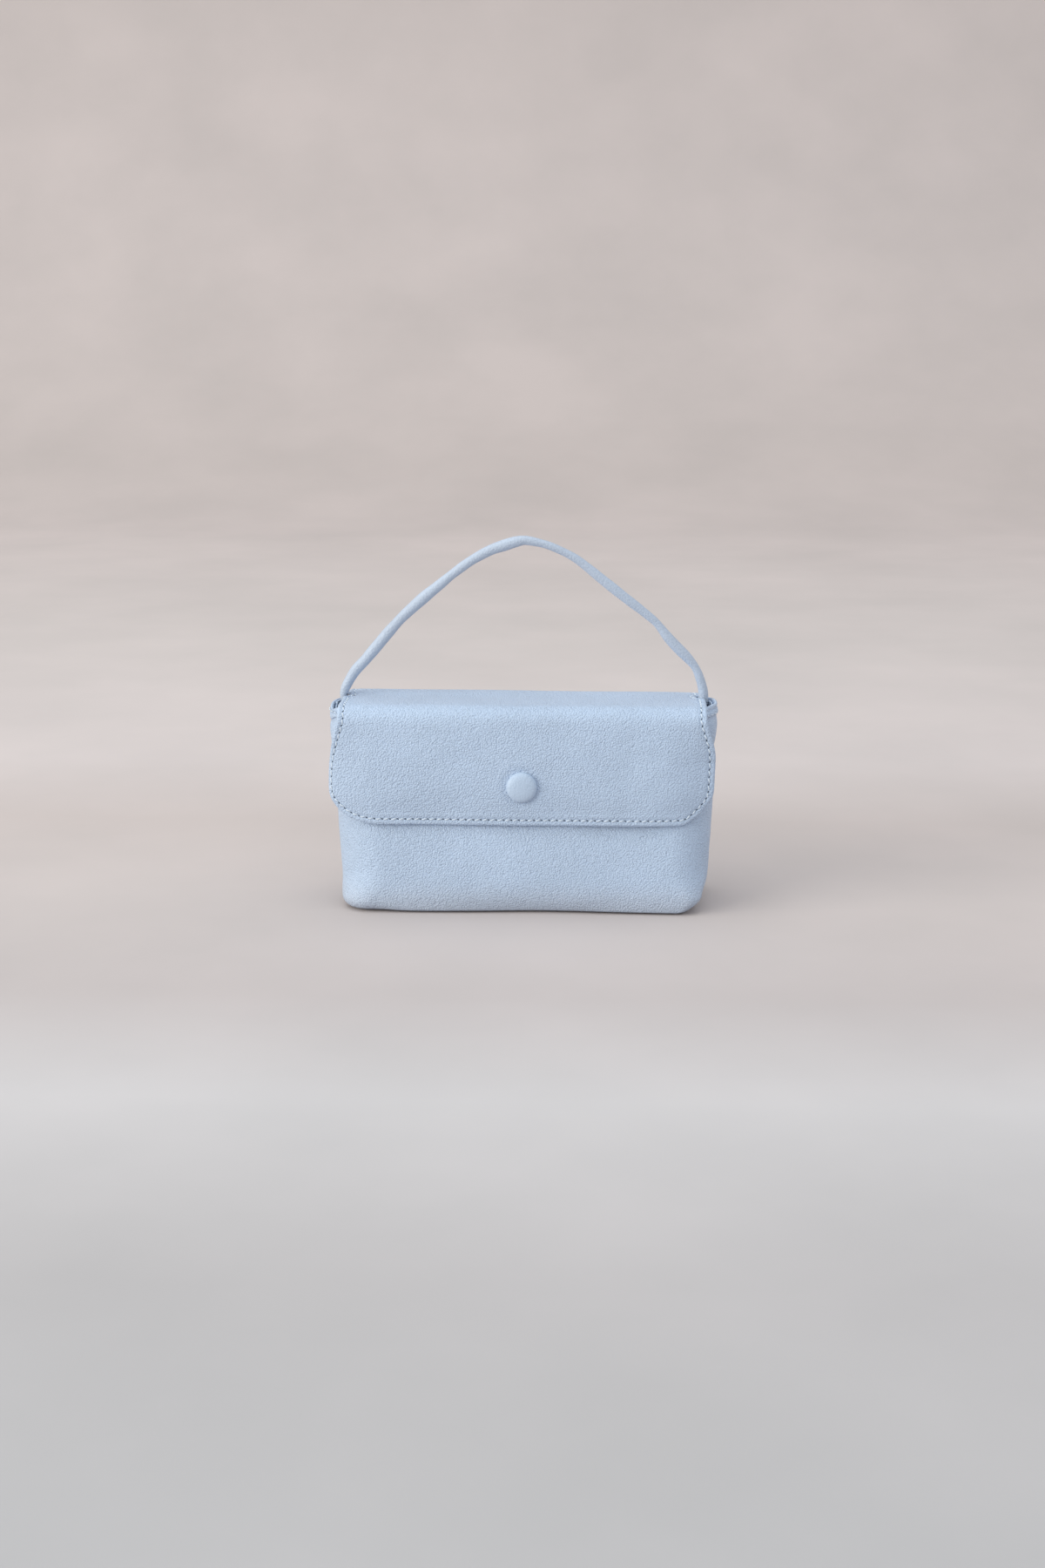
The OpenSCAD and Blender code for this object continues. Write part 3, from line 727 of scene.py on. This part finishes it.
def flap_surface(x, s):
    """Outer face of the flap at flat coordinates, in mm."""
    y, z = profile_at(s)
    t = np.clip((FOLD_CZ - z) / DROP_H, 0, 1) * (y < 0)
    share = np.abs(x) / WIDE_HALF
    begin = np.where(x > 0, 0.64, 0.72)
    grow = np.where(x > 0, 5.4, 4.0) * np.minimum(1, t / 0.4)
    curl = grow * np.clip((share - begin) / (1 - begin), 0, None) ** 2
    back = rise(y, 3.0, 12.0)
    zz = np.minimum(z, WALL_H)
    shift = (wall_y(x, zz) - wall_y(0 * x, zz)) * back
    # the left side stands wider and its edge wraps round the pouch's corner
    lean = rise(s, S_CUT + 4.0, 14.0) * (0.1 + 0.9 * smooth01(t / 0.5))
    lean = lean * (1 - 0.7 * fall(z, 62.0, 17.0)) * (x < 0)
    wide = 2.5 * rise(-x, 58.0, 28.0) - 1.3 * np.clip((-x - 89.0) / 3.5, 0, 1) ** 1.5
    wrap = 2.3 * np.clip((-x - 88.6) / 3.9, 0, 1) ** 1.5
    # the left side reaches closer to the handle's foot than the right
    beside = rise(y, 0.5, 3.4) * (1 - rise(y, 8.2, 2.6)) * (s < S_CUT + 4.0)
    near = 1.6 * beside * rise(-x, 66.0, 18.0)
    # the right side bulges below the ridge, and its lower corner is cut off straighter
    bulge = 1.3 * rise(x, 62.0, 26.0) * hump(z, 79.0, 9.0) * (y < 0)
    low = fall(z, 60.0, 10.0) * (y < 0)
    cut = 1.4 * rise(x, 76.0, 9.0) * low
    lift = 1.6 * rise(-x, 69.0, 13.0) * low + 0.8 * cut
    across = x - lean * wide - near + bulge - 0.6 * cut
    return np.stack([across, y + curl + shift + lean * wrap, z + lift], 1)


def outward(points, normals):
    """Turns each normal away from the middle of the bag."""
    c = points - np.array([0.0, 0.0, 60.0])
    wrong = np.einsum("ij,ij->i", c, normals) < 0
    normals[wrong] *= -1
    return normals


def flap_at(x, s, depth):
    """Point under the flap's outer face at a depth, and the outward normal there."""
    x, s, depth = (a.ravel() for a in np.broadcast_arrays(x, s, depth))
    e = 0.4
    px = flap_surface(x + e, s) - flap_surface(x - e, s)
    ps = flap_surface(x, s + e) - flap_surface(x, s - e)
    n = np.cross(px, ps)
    n /= np.linalg.norm(n, axis=1)[:, None]
    base = flap_surface(x, s)
    n = outward(base, n)
    return base + n * (flap_waves(x, s) - depth)[:, None], n


# Flap: its pieces
EDGE_R = 0.98
SKIN_T, LAP_T = 1.96, 1.15
FAR_IN = 9.0
INSETS = [0.0, 0.07, 0.22, 0.45, 0.75, 1.1, 1.6, 2.1, 2.5, 2.9, 3.3, 3.8, 4.6, 6.0]
LOW_STEPS = 152
LAP_CORNER = 6.5


def half_round(d, radius):
    """Depth of a rounded edge at a distance from it."""
    inside = np.clip(radius - d, 0, radius)
    return radius - np.sqrt(np.maximum(radius**2 - inside**2, 0))


def edge_depth(d):
    """Depth of the outer face near an edge: its rounding and the stitched groove."""
    groove = 0.30 * hump(d, STITCH_IN, 0.85)
    proud = -0.14 * hump(d, 1.55, 0.7) - 0.06 * hump(d, 4.6, 1.0)
    return half_round(d, EDGE_R) + groove + proud


def outline_left():
    """Left side of the front piece, from the cut forward and round the corner, in flat terms."""
    zs = FLAP_LOW_Z + (CORNER_Z - FLAP_LOW_Z) * (1 - np.sin(np.linspace(0, math.pi / 2, 30)[1:]))
    s = np.concatenate([np.linspace(S_CUT, S_CORNER, 96), [s_at(z=z) for z in zs]])
    return np.stack([-flap_half(s), s], 1)


def inset_line(line, d):
    """A line moved inwards by d, square to its own run."""
    t = directions(line)
    t[0] = (0.0, 1.0)
    t[-1] = (1.0, 0.0)
    return line + np.stack([t[:, 1], -t[:, 0]], 1) * d


def outline_front(d, low_points):
    """Left side, bottom and right side of the front piece, moved inwards by d."""
    left = inset_line(outline_left(), d)
    low = np.linspace(left[-1][0], -left[-1][0], low_points)
    bottom = np.stack([low, 0 * low + (S_END - d)], 1)
    return np.concatenate([left, bottom[1:-1], left[::-1] * (-1, 1)])


def front_points():
    """Flat points of the front piece and their distance from its edge: rings, then rows across."""
    rings = [outline_front(d, LOW_STEPS + 1) for d in INSETS]
    loop = len(rings[0])
    n_side = len(outline_left())
    flat = [np.concatenate([ring, np.full((loop, 1), d)], 1) for ring, d in zip(rings, INSETS)]
    shares = np.linspace(0, 1, LOW_STEPS + 1)[1:-1]
    for i in range(n_side - 1):
        left, right = rings[-1][i], rings[-1][loop - 1 - i]
        xs = left[0] + (right[0] - left[0]) * shares
        flat.append(np.stack([xs, 0 * xs + left[1], 0 * xs + FAR_IN], 1))
    return np.concatenate(flat), n_side, loop


def front_faces(n_side, loop):
    """Faces between the rings, then between the last ring's two sides."""
    ring0 = (len(INSETS) - 1) * loop

    def at(i, j):
        # i is a row along the sides, j runs from the left side to the right one
        if i == n_side - 1:
            return ring0 + n_side - 1 + j
        if j == 0:
            return ring0 + i
        if j == LOW_STEPS:
            return ring0 + loop - 1 - i
        return ring0 + loop + i * (LOW_STEPS - 1) + (j - 1)

    faces = quads(len(INSETS), loop, flip=True)
    for i in range(n_side - 1):
        for j in range(LOW_STEPS):
            faces.append((at(i, j), at(i + 1, j), at(i + 1, j + 1), at(i, j + 1)))
    return faces


def closed_skin(name, over, under, upper, shared):
    """A leather skin from its two faces. The points in shared are on both."""
    count = len(over)
    lower = [tuple((k if k in shared else k + count) for k in face[::-1]) for face in upper]
    return make_piece(name, np.concatenate([over, under]), upper + lower, [body_leather])


def front_skin():
    """Leather of the flap's front piece, from the middle of the top to the lower edge."""
    flat, n_side, loop = front_points()
    x, s, d = flat.T
    over, _ = flap_at(x, s, edge_depth(d))
    under, _ = flap_at(x, s, SKIN_T - half_round(d, EDGE_R))
    under[:loop] = over[:loop]
    return closed_skin("flap_front_skin", over, under, front_faces(n_side, loop), set(range(loop)))


flap_front = front_skin()


def back_points():
    """Flat points of the back piece and their distance from its edge, row by row."""
    rows = np.concatenate([INSETS, np.linspace(INSETS[-1], S_CUT, 58)[1:]])
    mid = np.linspace(0, 1, 110)[1:-1]
    ds = INSETS + [FAR_IN] * len(mid) + INSETS[::-1]
    pts = []
    for s in rows:
        turn = max(0.0, (LAP_CORNER - s) / LAP_CORNER)
        h = float(flap_half(s)) - LAP_CORNER * (1 - math.sqrt(max(0.0, 1 - turn * turn)))
        left = [-h + d for d in INSETS]
        right = [h - d for d in reversed(INSETS)]
        xs = left + list(left[-1] + (right[0] - left[-1]) * mid) + right
        pts += [(x, s, min(d, s)) for x, d in zip(xs, ds)]
    return np.array(pts), len(rows), len(ds)


def back_skin():
    """Leather of the flap's back piece: the lap, the turn and the rear half of the top."""
    flat, n_rows, n_cols = back_points()
    x, s, d = flat.T
    over, _ = flap_at(x, s, edge_depth(d))
    thick = LAP_T + (SKIN_T - LAP_T) * rise(s, 8.0, 6.0)
    under, _ = flap_at(x, s, thick - half_round(d, np.minimum(EDGE_R, thick / 2)))
    border = np.flatnonzero(d <= 0.0)
    over[border] = under[border] = 0.5 * (over[border] + under[border])
    upper = quads(n_rows, n_cols, flip=True)
    return closed_skin("flap_back_skin", over, under, upper, set(border.tolist()))


flap_back = back_skin()


def lining_sheet(name, s0, s1, inset, rows, narrows):
    """Lining under the flap's leather between two places along it. It narrows with the lower corners."""
    cols = 90
    pts = []
    for s in np.linspace(s0, s1, rows):
        h = float(flap_half(s)) - inset
        if narrows:
            h = min(h, float(flap_half(min(S_END, s + inset * 0.4))) - inset)
        pts += [(x, s) for x in np.linspace(-h, h, cols)]
    x, s = np.array(pts).T
    n = len(x)
    over, under = (flap_at(x, s, depth)[0] for depth in (1.9, 2.22))
    faces = quads(rows, cols, flip=True)
    faces += [tuple(k + n for k in face[::-1]) for face in faces]
    for j in range(cols - 1):
        k = (rows - 1) * cols + j
        faces.append((j, j + 1, n + j + 1, n + j))
        faces.append((k + 1, k, n + k, n + k + 1))
    for i in range(rows - 1):
        k, e = i * cols, i * cols + cols - 1
        faces.append((k + cols, k, n + k, n + k + cols))
        faces.append((e, e + cols, n + e + cols, n + e))
    return make_piece(name, np.concatenate([over, under]), faces, [lining_cloth])


LINING_IN = 3.4
lining_front = lining_sheet("flap_front_cloth", S_CUT, S_END - LINING_IN, LINING_IN, 60, True)
lining_back = lining_sheet("flap_back_cloth", s_at(y=14.0), S_CUT, LINING_IN, 30, False)


# Stitches: real threads, and needle holes drawn as lenses of painted shade
THREAD_SIDES, THREAD_STEPS = 6, 7
HOLE_SIDES = 10
THREAD_DEPTH, HOLE_DEPTH = 0.26, 0.22
THREAD_START, THREAD_END = 0.62, STITCH - 0.58


def stitch_thread(surface, start, end, run, thread_r, slant):
    """One stitch from hole to hole: a thin slanting tube that rises out of the leather and goes back in."""
    off = np.array([-run[1], run[0]]) * slant
    last = THREAD_STEPS - 1
    flat = np.array([start + off + (end - start - 2 * off) * k / last for k in range(THREAD_STEPS)])
    lift = np.array([-0.22 + 0.46 * math.sin(math.pi * k / last) ** 0.6 for k in range(THREAD_STEPS)])
    points, normals = surface(flat[:, 0], flat[:, 1], THREAD_DEPTH - lift)
    verts = []
    for k, along in enumerate(directions(points)):
        across = np.cross(along, normals[k])
        across /= np.linalg.norm(across)
        r = thread_r * (0.55 + 0.45 * math.sin(math.pi * (k + 0.35) / (THREAD_STEPS - 0.3)))
        for m in range(THREAD_SIDES):
            c = 2 * math.pi * m / THREAD_SIDES
            verts.append(points[k] + across * math.cos(c) * r + normals[k] * math.sin(c) * r * 0.8)
    faces = quads(THREAD_STEPS, THREAD_SIDES, flip=True, wrap=True)
    faces.append(tuple(reversed(range(THREAD_SIDES))))
    faces.append(tuple(last * THREAD_SIDES + m for m in range(THREAD_SIDES)))
    return verts, faces


def stitch_hole(surface, place, run, size):
    """The slanting oval of a needle hole, as a shallow lens of painted shade just over the surface."""
    two = np.array([place, place + run * 0.1])
    (middle, ahead), (normal, _) = surface(two[:, 0], two[:, 1], np.full(2, HOLE_DEPTH))
    t1 = ahead - middle
    t1 /= np.linalg.norm(t1)
    t2 = np.cross(normal, t1)
    t1, t2 = t1 * 0.9 - t2 * 0.44, t2 * 0.9 + t1 * 0.44
    verts = [middle + normal * 0.05]
    faces = []
    for m in range(HOLE_SIDES):
        c = 2 * math.pi * m / HOLE_SIDES
        after = (m + 1) % HOLE_SIDES
        verts.append(middle + (t1 * math.cos(c) * 0.62 + t2 * math.sin(c) * 0.40) * size)
        faces.append((0, 1 + m, 1 + after))
        faces.append((HOLE_SIDES + 1, 1 + after, 1 + m))
    verts.append(middle - normal * 0.3)
    return verts, faces


def stitch_mesh(name, path, start, surface, thread_r=0.40, slant=0.36, hole=0.92):
    """Threads, and needle holes as painted shade, along a path in flat terms. surface gives point and normal.
    """
    length = run_along(path)

    def on(p):
        return np.array([np.interp(p, length, column) for column in path.T])

    verts, faces, marks = [], [], []
    p = start
    while p + STITCH < length[-1]:
        u0, u1 = on(p + THREAD_START), on(p + THREAD_END)
        run = (u1 - u0) / np.linalg.norm(u1 - u0)
        one_thread = stitch_thread(surface, u0, u1, run, thread_r, slant)
        one_hole = stitch_hole(surface, on(p), run, hole)
        for mark, (points, sides) in enumerate((one_thread, one_hole)):
            first = len(verts)
            verts += points
            faces += [tuple(first + k for k in side) for side in sides]
            marks += [mark] * len(sides)
        p += STITCH
    return make_piece(name, verts, faces, [thread_blue, hole_shade], marks)


front_stitches = stitch_mesh("flap_front_stitches", outline_front(STITCH_IN, 160), 1.2, flap_at)
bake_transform(front_stitches)


def back_stitch_path(side):
    """Along a side of the flap's top, smoothed where the edge steps in beside the handle."""
    s = np.linspace(S_CUT, 8.0, 60)
    pts = np.stack([side * (flap_half(s) - STITCH_IN), s], 1)
    pts[2:-2, 0] = np.convolve(pts[:, 0], np.ones(5) / 5, "valid")
    return pts


for side, word in ((-1, "left"), (1, "right")):
    row = stitch_mesh("flap_top_stitches_" + word, back_stitch_path(side), STITCH - 1.2, flap_at)
    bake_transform(row)


def lap_stitch_path(s):
    h = float(flap_half(s)) - 5.5
    x = np.linspace(-h, h, 160)
    return np.stack([x, 0 * x + s], 1)


for s, word in ((STITCH_IN, "low"), (9.0, "high")):
    row = stitch_mesh("lap_stitches_" + word, lap_stitch_path(s), 0.5, flap_at)
    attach(row, "pouch")

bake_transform(flap_front)
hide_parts("flap_front_leather")
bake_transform(flap_back)
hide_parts("flap_top_leather")
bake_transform(lining_front)
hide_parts("flap_front_lining")
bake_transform(lining_back)
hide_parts("flap_top_lining")


# The row on the band round the mouth
BAND_STITCH_Z, BAND_STITCH_OUT = 95.35, 0.95
BAND_PLAN = np.array([plan_point(kind, t, 95.0, 0.0) for kind, t in band_keys()])
BAND_RUN = run_along(BAND_PLAN[:, :2])


def band_at(x, s, depth):
    """Point and normal on the band at a distance along it and a height."""
    px, py, nx, ny = (np.interp(x, BAND_RUN, column) for column in BAND_PLAN.T)
    n = np.stack([nx, ny, 0 * nx], 1)
    n /= np.linalg.norm(n, axis=1)[:, None]
    return np.stack([px, py, s], 1) + n * (BAND_STITCH_OUT - depth)[:, None], n


band_path = np.stack([np.linspace(2.0, BAND_RUN[-1] - 2.0, 400), np.full(400, BAND_STITCH_Z)], 1)
band_row = stitch_mesh("mouth_band_stitches", band_path, 0.4, band_at, thread_r=0.24, slant=0.12, hole=0.5)
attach(band_row, "pouch")


# Handle
def spline(points, steps):
    """A smooth line through points, with steps between each two."""
    p = np.array(points, float)
    out = []
    n = len(p)
    for i in range(n - 1):
        p0, p1, p2, p3 = p[max(0, i - 1)], p[i], p[i + 1], p[min(n - 1, i + 2)]
        for k in range(steps):
            t = k / steps
            out.append((2 * p1 + (p2 - p0) * t + (2 * p0 - 5 * p1 + 4 * p2 - p3) * t * t
                        + (3 * p1 - p0 - 3 * p2 + p3) * t**3) / 2)
    out.append(p[-1])
    return np.array(out)


# The rolled strap's route as it stands in the photograph: across, height and width
ROUTE = np.array([
    (-88.4, 101.2, 4.1), (-87.2, 105.0, 4.6), (-82.8, 112.4, 5.1), (-78.0, 117.6, 5.4), (-72.3, 124.3, 5.6),
    (-66.4, 131.3, 5.4), (-60.5, 137.9, 5.1), (-55.6, 142.6, 5.4), (-48.2, 149.2, 5.7), (-40.8, 155.2, 5.1),
    (-34.5, 160.4, 4.5), (-26.0, 166.6, 4.6), (-16.9, 171.7, 5.2), (-9.8, 174.3, 5.5), (-3.6, 176.2, 5.3),
    (0.4, 176.8, 4.4), (4.6, 176.2, 4.3), (10.2, 174.9, 3.9), (15.3, 173.0, 3.7), (22.4, 169.6, 3.8),
    (28.0, 165.9, 4.3), (38.2, 157.7, 4.7), (48.6, 149.5, 4.9), (57.6, 142.6, 4.2), (63.4, 137.8, 3.7),
    (66.4, 134.4, 4.2), (70.2, 129.6, 5.0), (74.6, 124.9, 5.3), (79.6, 119.9, 4.7), (83.4, 115.2, 3.9),
    (85.8, 109.6, 4.4), (87.2, 104.6, 4.7), (87.5, 101.2, 4.9),
])
SEWN_LOW, SEWN_POINTS = 79.0, 12
WALL_LEAN = 0.0636


def sewn_end(side, spread):
    """The strap's end below its hinge. It follows the leaning wall, and reaches the arch's first point."""
    z = np.linspace(SEWN_LOW, PIVOT_Z, SEWN_POINTS, endpoint=False)
    down = np.clip(97.85 - z, 0, None)
    x = side * (FOOT_X + spread * rise(z, 93.0, 8.0) - down * WALL_LEAN)
    return np.stack([x, 0 * z + FOOT_Y, z], 1)


def strap_radii(path, n_arch):
    """Radius along the strap: the widths in the photograph, smoothed, with a slight unevenness."""
    span = run_along(path)
    start, end = span[SEWN_POINTS], span[SEWN_POINTS + n_arch - 1]
    knots = run_along(ROUTE[:, :2])
    knots = start + knots * (end - start) / knots[-1]
    radii = np.interp(span, knots, ROUTE[:, 2] / 2)
    radii = np.convolve(np.pad(radii, 2, "edge"), np.ones(5) / 5, "valid")
    return radii + 0.05 * np.sin(span / 4.1) + 0.04 * np.sin(span / 1.9 + 1.0)


def rolled_handle(path, n_arch):
    """The rolled strap with its seam. Its sewn ends are pressed flat."""
    flat = [float(fall(z, 95.0, 7.0)) for z in path[:, 2]]
    squeeze = [(1.0 - 0.46 * f, 1.0 + 0.9 * f) for f in flat]
    verts, faces = tube(path, strap_radii(path, n_arch), 36, squeeze, groove=0.16)
    return make_piece("rolled_handle", verts, faces, [handle_leather])


def handle_cord(path):
    """The braided cord inside the strap."""
    radii = 1.28 + 0.10 * np.sin(run_along(path) * 2 * math.pi / 3.2)
    verts, faces = tube(path, radii, 16)
    return make_piece("handle_cord", verts, faces, [cord_cotton])


arch = spline([(x, FOOT_Y, z) for x, z, _ in ROUTE], 7)
handle_path = np.concatenate([sewn_end(-1, 1.1), arch, sewn_end(1, 0.2)[::-1]])

handle = rolled_handle(handle_path, len(arch))
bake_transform(handle)
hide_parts("handle_cover", "handle_end_left", "handle_end_right")

core = handle_cord(handle_path[SEWN_POINTS - 2:SEWN_POINTS + len(arch) + 2])
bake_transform(core)
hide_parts("handle_core")


# Button
def button_seat():
    """Where the button sits on the flap: its middle, and the directions across, up and out."""
    t = (FOLD_CZ - SNAP_Z) / DROP_H
    a = math.atan((LOW_REACH - RIDGE_REACH + BELLY * 4 * (1 - 2 * t)) / DROP_H)
    origin = np.array([0.0, -float(drop_reach(t)), SNAP_Z])
    out = np.array([0.0, -math.cos(a), math.sin(a)])
    up = np.array([0.0, math.sin(a), math.cos(a)])
    return origin, np.array([1.0, 0.0, 0.0]), up, out


def button():
    """Domed button with leather gathered under its rim."""
    origin, across, up, out = button_seat()
    dome = [(0.0, 3.2), (1.2, 3.18), (2.4, 3.12), (3.6, 3.0), (4.6, 2.84), (5.4, 2.64), (6.1, 2.36)]
    rim = [(6.6, 2.04), (7.0, 1.62), (7.28, 1.15), (7.42, 0.7), (7.42, 0.3), (7.3, 0.02), (7.0, -0.16)]
    under = [(6.4, -0.22), (5.0, -0.22), (2.5, -0.2), (0.0, -0.2)]
    profile = dome + rim + under
    n = 72
    verts = []
    for r, h in profile:
        for k in range(n):
            a = 2 * math.pi * k / n
            gather = 0.0
            if 5.0 < r and h > -0.1:
                gather = 0.03 * math.sin(a * 17 + 0.6 * math.sin(3 * a)) * min(1.0, (r - 5.0) / 2.0)
            rr = r + gather * 0.7
            verts.append(origin + across * rr * math.cos(a) + up * rr * math.sin(a) + out * (h + gather))
    faces = quads(len(profile), n, wrap=True)
    return make_piece("covered_button", verts, faces, [button_leather])


covered = button()
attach(covered, "flap_front")
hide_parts("button_cap")

# Nodes carried over as they are
for name, material in (
    ("handle_tab_left", body_leather), ("handle_tab_right", body_leather),
    ("snap_socket", snap_metal), ("snap_magnet", magnet_metal), ("snap_socket_plate", snap_metal),
    ("snap_stud", snap_metal), ("snap_stud_plate", snap_metal), ("button_shell", snap_metal),
):
    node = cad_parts[name]
    node.data.materials.clear()
    node.data.materials.append(material)


# Floor, backdrop, light and camera, in metres
def sweep_material():
    """Canvas: soft clouds in its own tone, and a tone along its depth that is partly the canvas's and partly
    painted light and shade, cooling and darkening towards the front.
    """
    material, tree, shader = node_material("pale_sweep")
    place = object_point(tree)
    cloud = noise(tree, place, 5.0, 4.0, 0.55)
    clouded = ramp(tree, cloud, [(0.3, (0.94, 0.94, 0.94)), (0.7, (1.04, 1.03, 1.03))])
    along = add(tree, "SeparateXYZ", {"Vector": place}, "Y")
    # partly painted light and shade: the tone along the depth darkens towards the front and rises and falls
    # in bands near the bag
    run = ramp(tree, fit_range(tree, along, -0.6, 2.4, 0.0, 1.0), [
        (0.0, (0.443, 0.441, 0.458)), (0.06, (0.458, 0.445, 0.459)), (0.11, (0.556, 0.542, 0.559)),
        (0.15, (0.494, 0.455, 0.458)), (0.2, (0.536, 0.491, 0.488)), (0.25, (0.522, 0.471, 0.463)),
        (0.3, (0.598, 0.548, 0.548)), (0.45, (0.571, 0.527, 0.521)), (0.67, (0.6, 0.544, 0.536)),
        (0.8, (0.534, 0.482, 0.473)), (0.95, (0.521, 0.472, 0.468)),
    ])
    tone = mixed(tree, "MULTIPLY", 1.0, run, clouded)
    fill(tree, shader, {"Base Color": tone, "Roughness": 0.9, "Specular IOR Level": 0.1})
    return material


def backdrop():
    """Pale floor that turns up into a backdrop far behind the bag."""
    turn_y, turn_r, top_z = 1.5, 0.9, 3.2
    rows = [(y, 0.0) for y in np.linspace(-6.0, turn_y, 60)]
    for k in range(1, 17):
        a = math.pi / 2 * k / 16
        rows.append((turn_y + turn_r * math.sin(a), turn_r * (1 - math.cos(a))))
    rows.append((turn_y + turn_r, top_z))
    xs = np.linspace(-7.0, 7.0, 30)
    points = [(x, y, z) for y, z in rows for x in xs]
    faces = quads(len(rows), len(xs), flip=True)
    in_scene("studio_sweep", smooth_mesh("studio_sweep", points, faces, [sweep_material()]))


backdrop()


def area_light(name, place, target, size, power, colour):
    """Soft rectangular lamp aimed at a point."""
    data = bpy.data.lights.new(name, "AREA")
    data.shape = "RECTANGLE"
    data.size, data.size_y = size
    data.energy = power
    data.color = colour
    obj = in_scene(name, data)
    obj.location = place
    aim = Vector(target) - Vector(place)
    obj.rotation_euler = aim.to_track_quat("-Z", "Y").to_euler()


area_light("window_left", (-2.56, -1.36, 0.95), (0.0, 0.0, 0.07), (2.4, 1.5), 64.0, (1.0, 0.965, 0.85))
area_light("sky_top", (0.0, 0.1, 2.4), (0.0, 0.0, 0.05), (2.6, 2.0), 18.0, (0.88, 0.965, 1.0))


def soft_room():
    """Even pale light from all round."""
    world = bpy.data.worlds.new("soft_room")
    bpy.context.scene.world = world
    world.use_nodes = True
    background = world.node_tree.nodes["Background"]
    fill(world.node_tree, background, {"Color": (0.98, 1.0, 1.0, 1.0), "Strength": 0.895})


soft_room()

bpy.context.scene.view_settings.view_transform = "Standard"


def place_camera():
    """Camera 13.5 degrees above the bag and 2 degrees to its right, as in the photograph."""
    az, el = math.radians(2.0), math.radians(13.5)
    depth, focal_px = 1.042, 2500.0
    middle_px, anchor_px = (600.0, 900.0), (599.0, 904.0)
    anchor = Vector((0.0, -0.028, 0.0626))
    forward = Vector((-math.sin(az) * math.cos(el), math.cos(az) * math.cos(el), -math.sin(el)))
    right = Vector((math.cos(az), math.sin(az), 0.0))
    up = right.cross(forward)
    across, below = ((a - m) / focal_px * depth for a, m in zip(anchor_px, middle_px))
    data = bpy.data.cameras.new("camera")
    data.sensor_fit = "VERTICAL"
    data.sensor_height = 36.0
    data.lens = 50.0
    data.clip_start = 0.05
    data.clip_end = 20.0
    obj = in_scene("camera", data)
    obj.location = anchor - right * across + up * below - forward * depth
    obj.rotation_euler = forward.to_track_quat("-Z", "Y").to_euler()
    bpy.context.scene.camera = obj


place_camera()
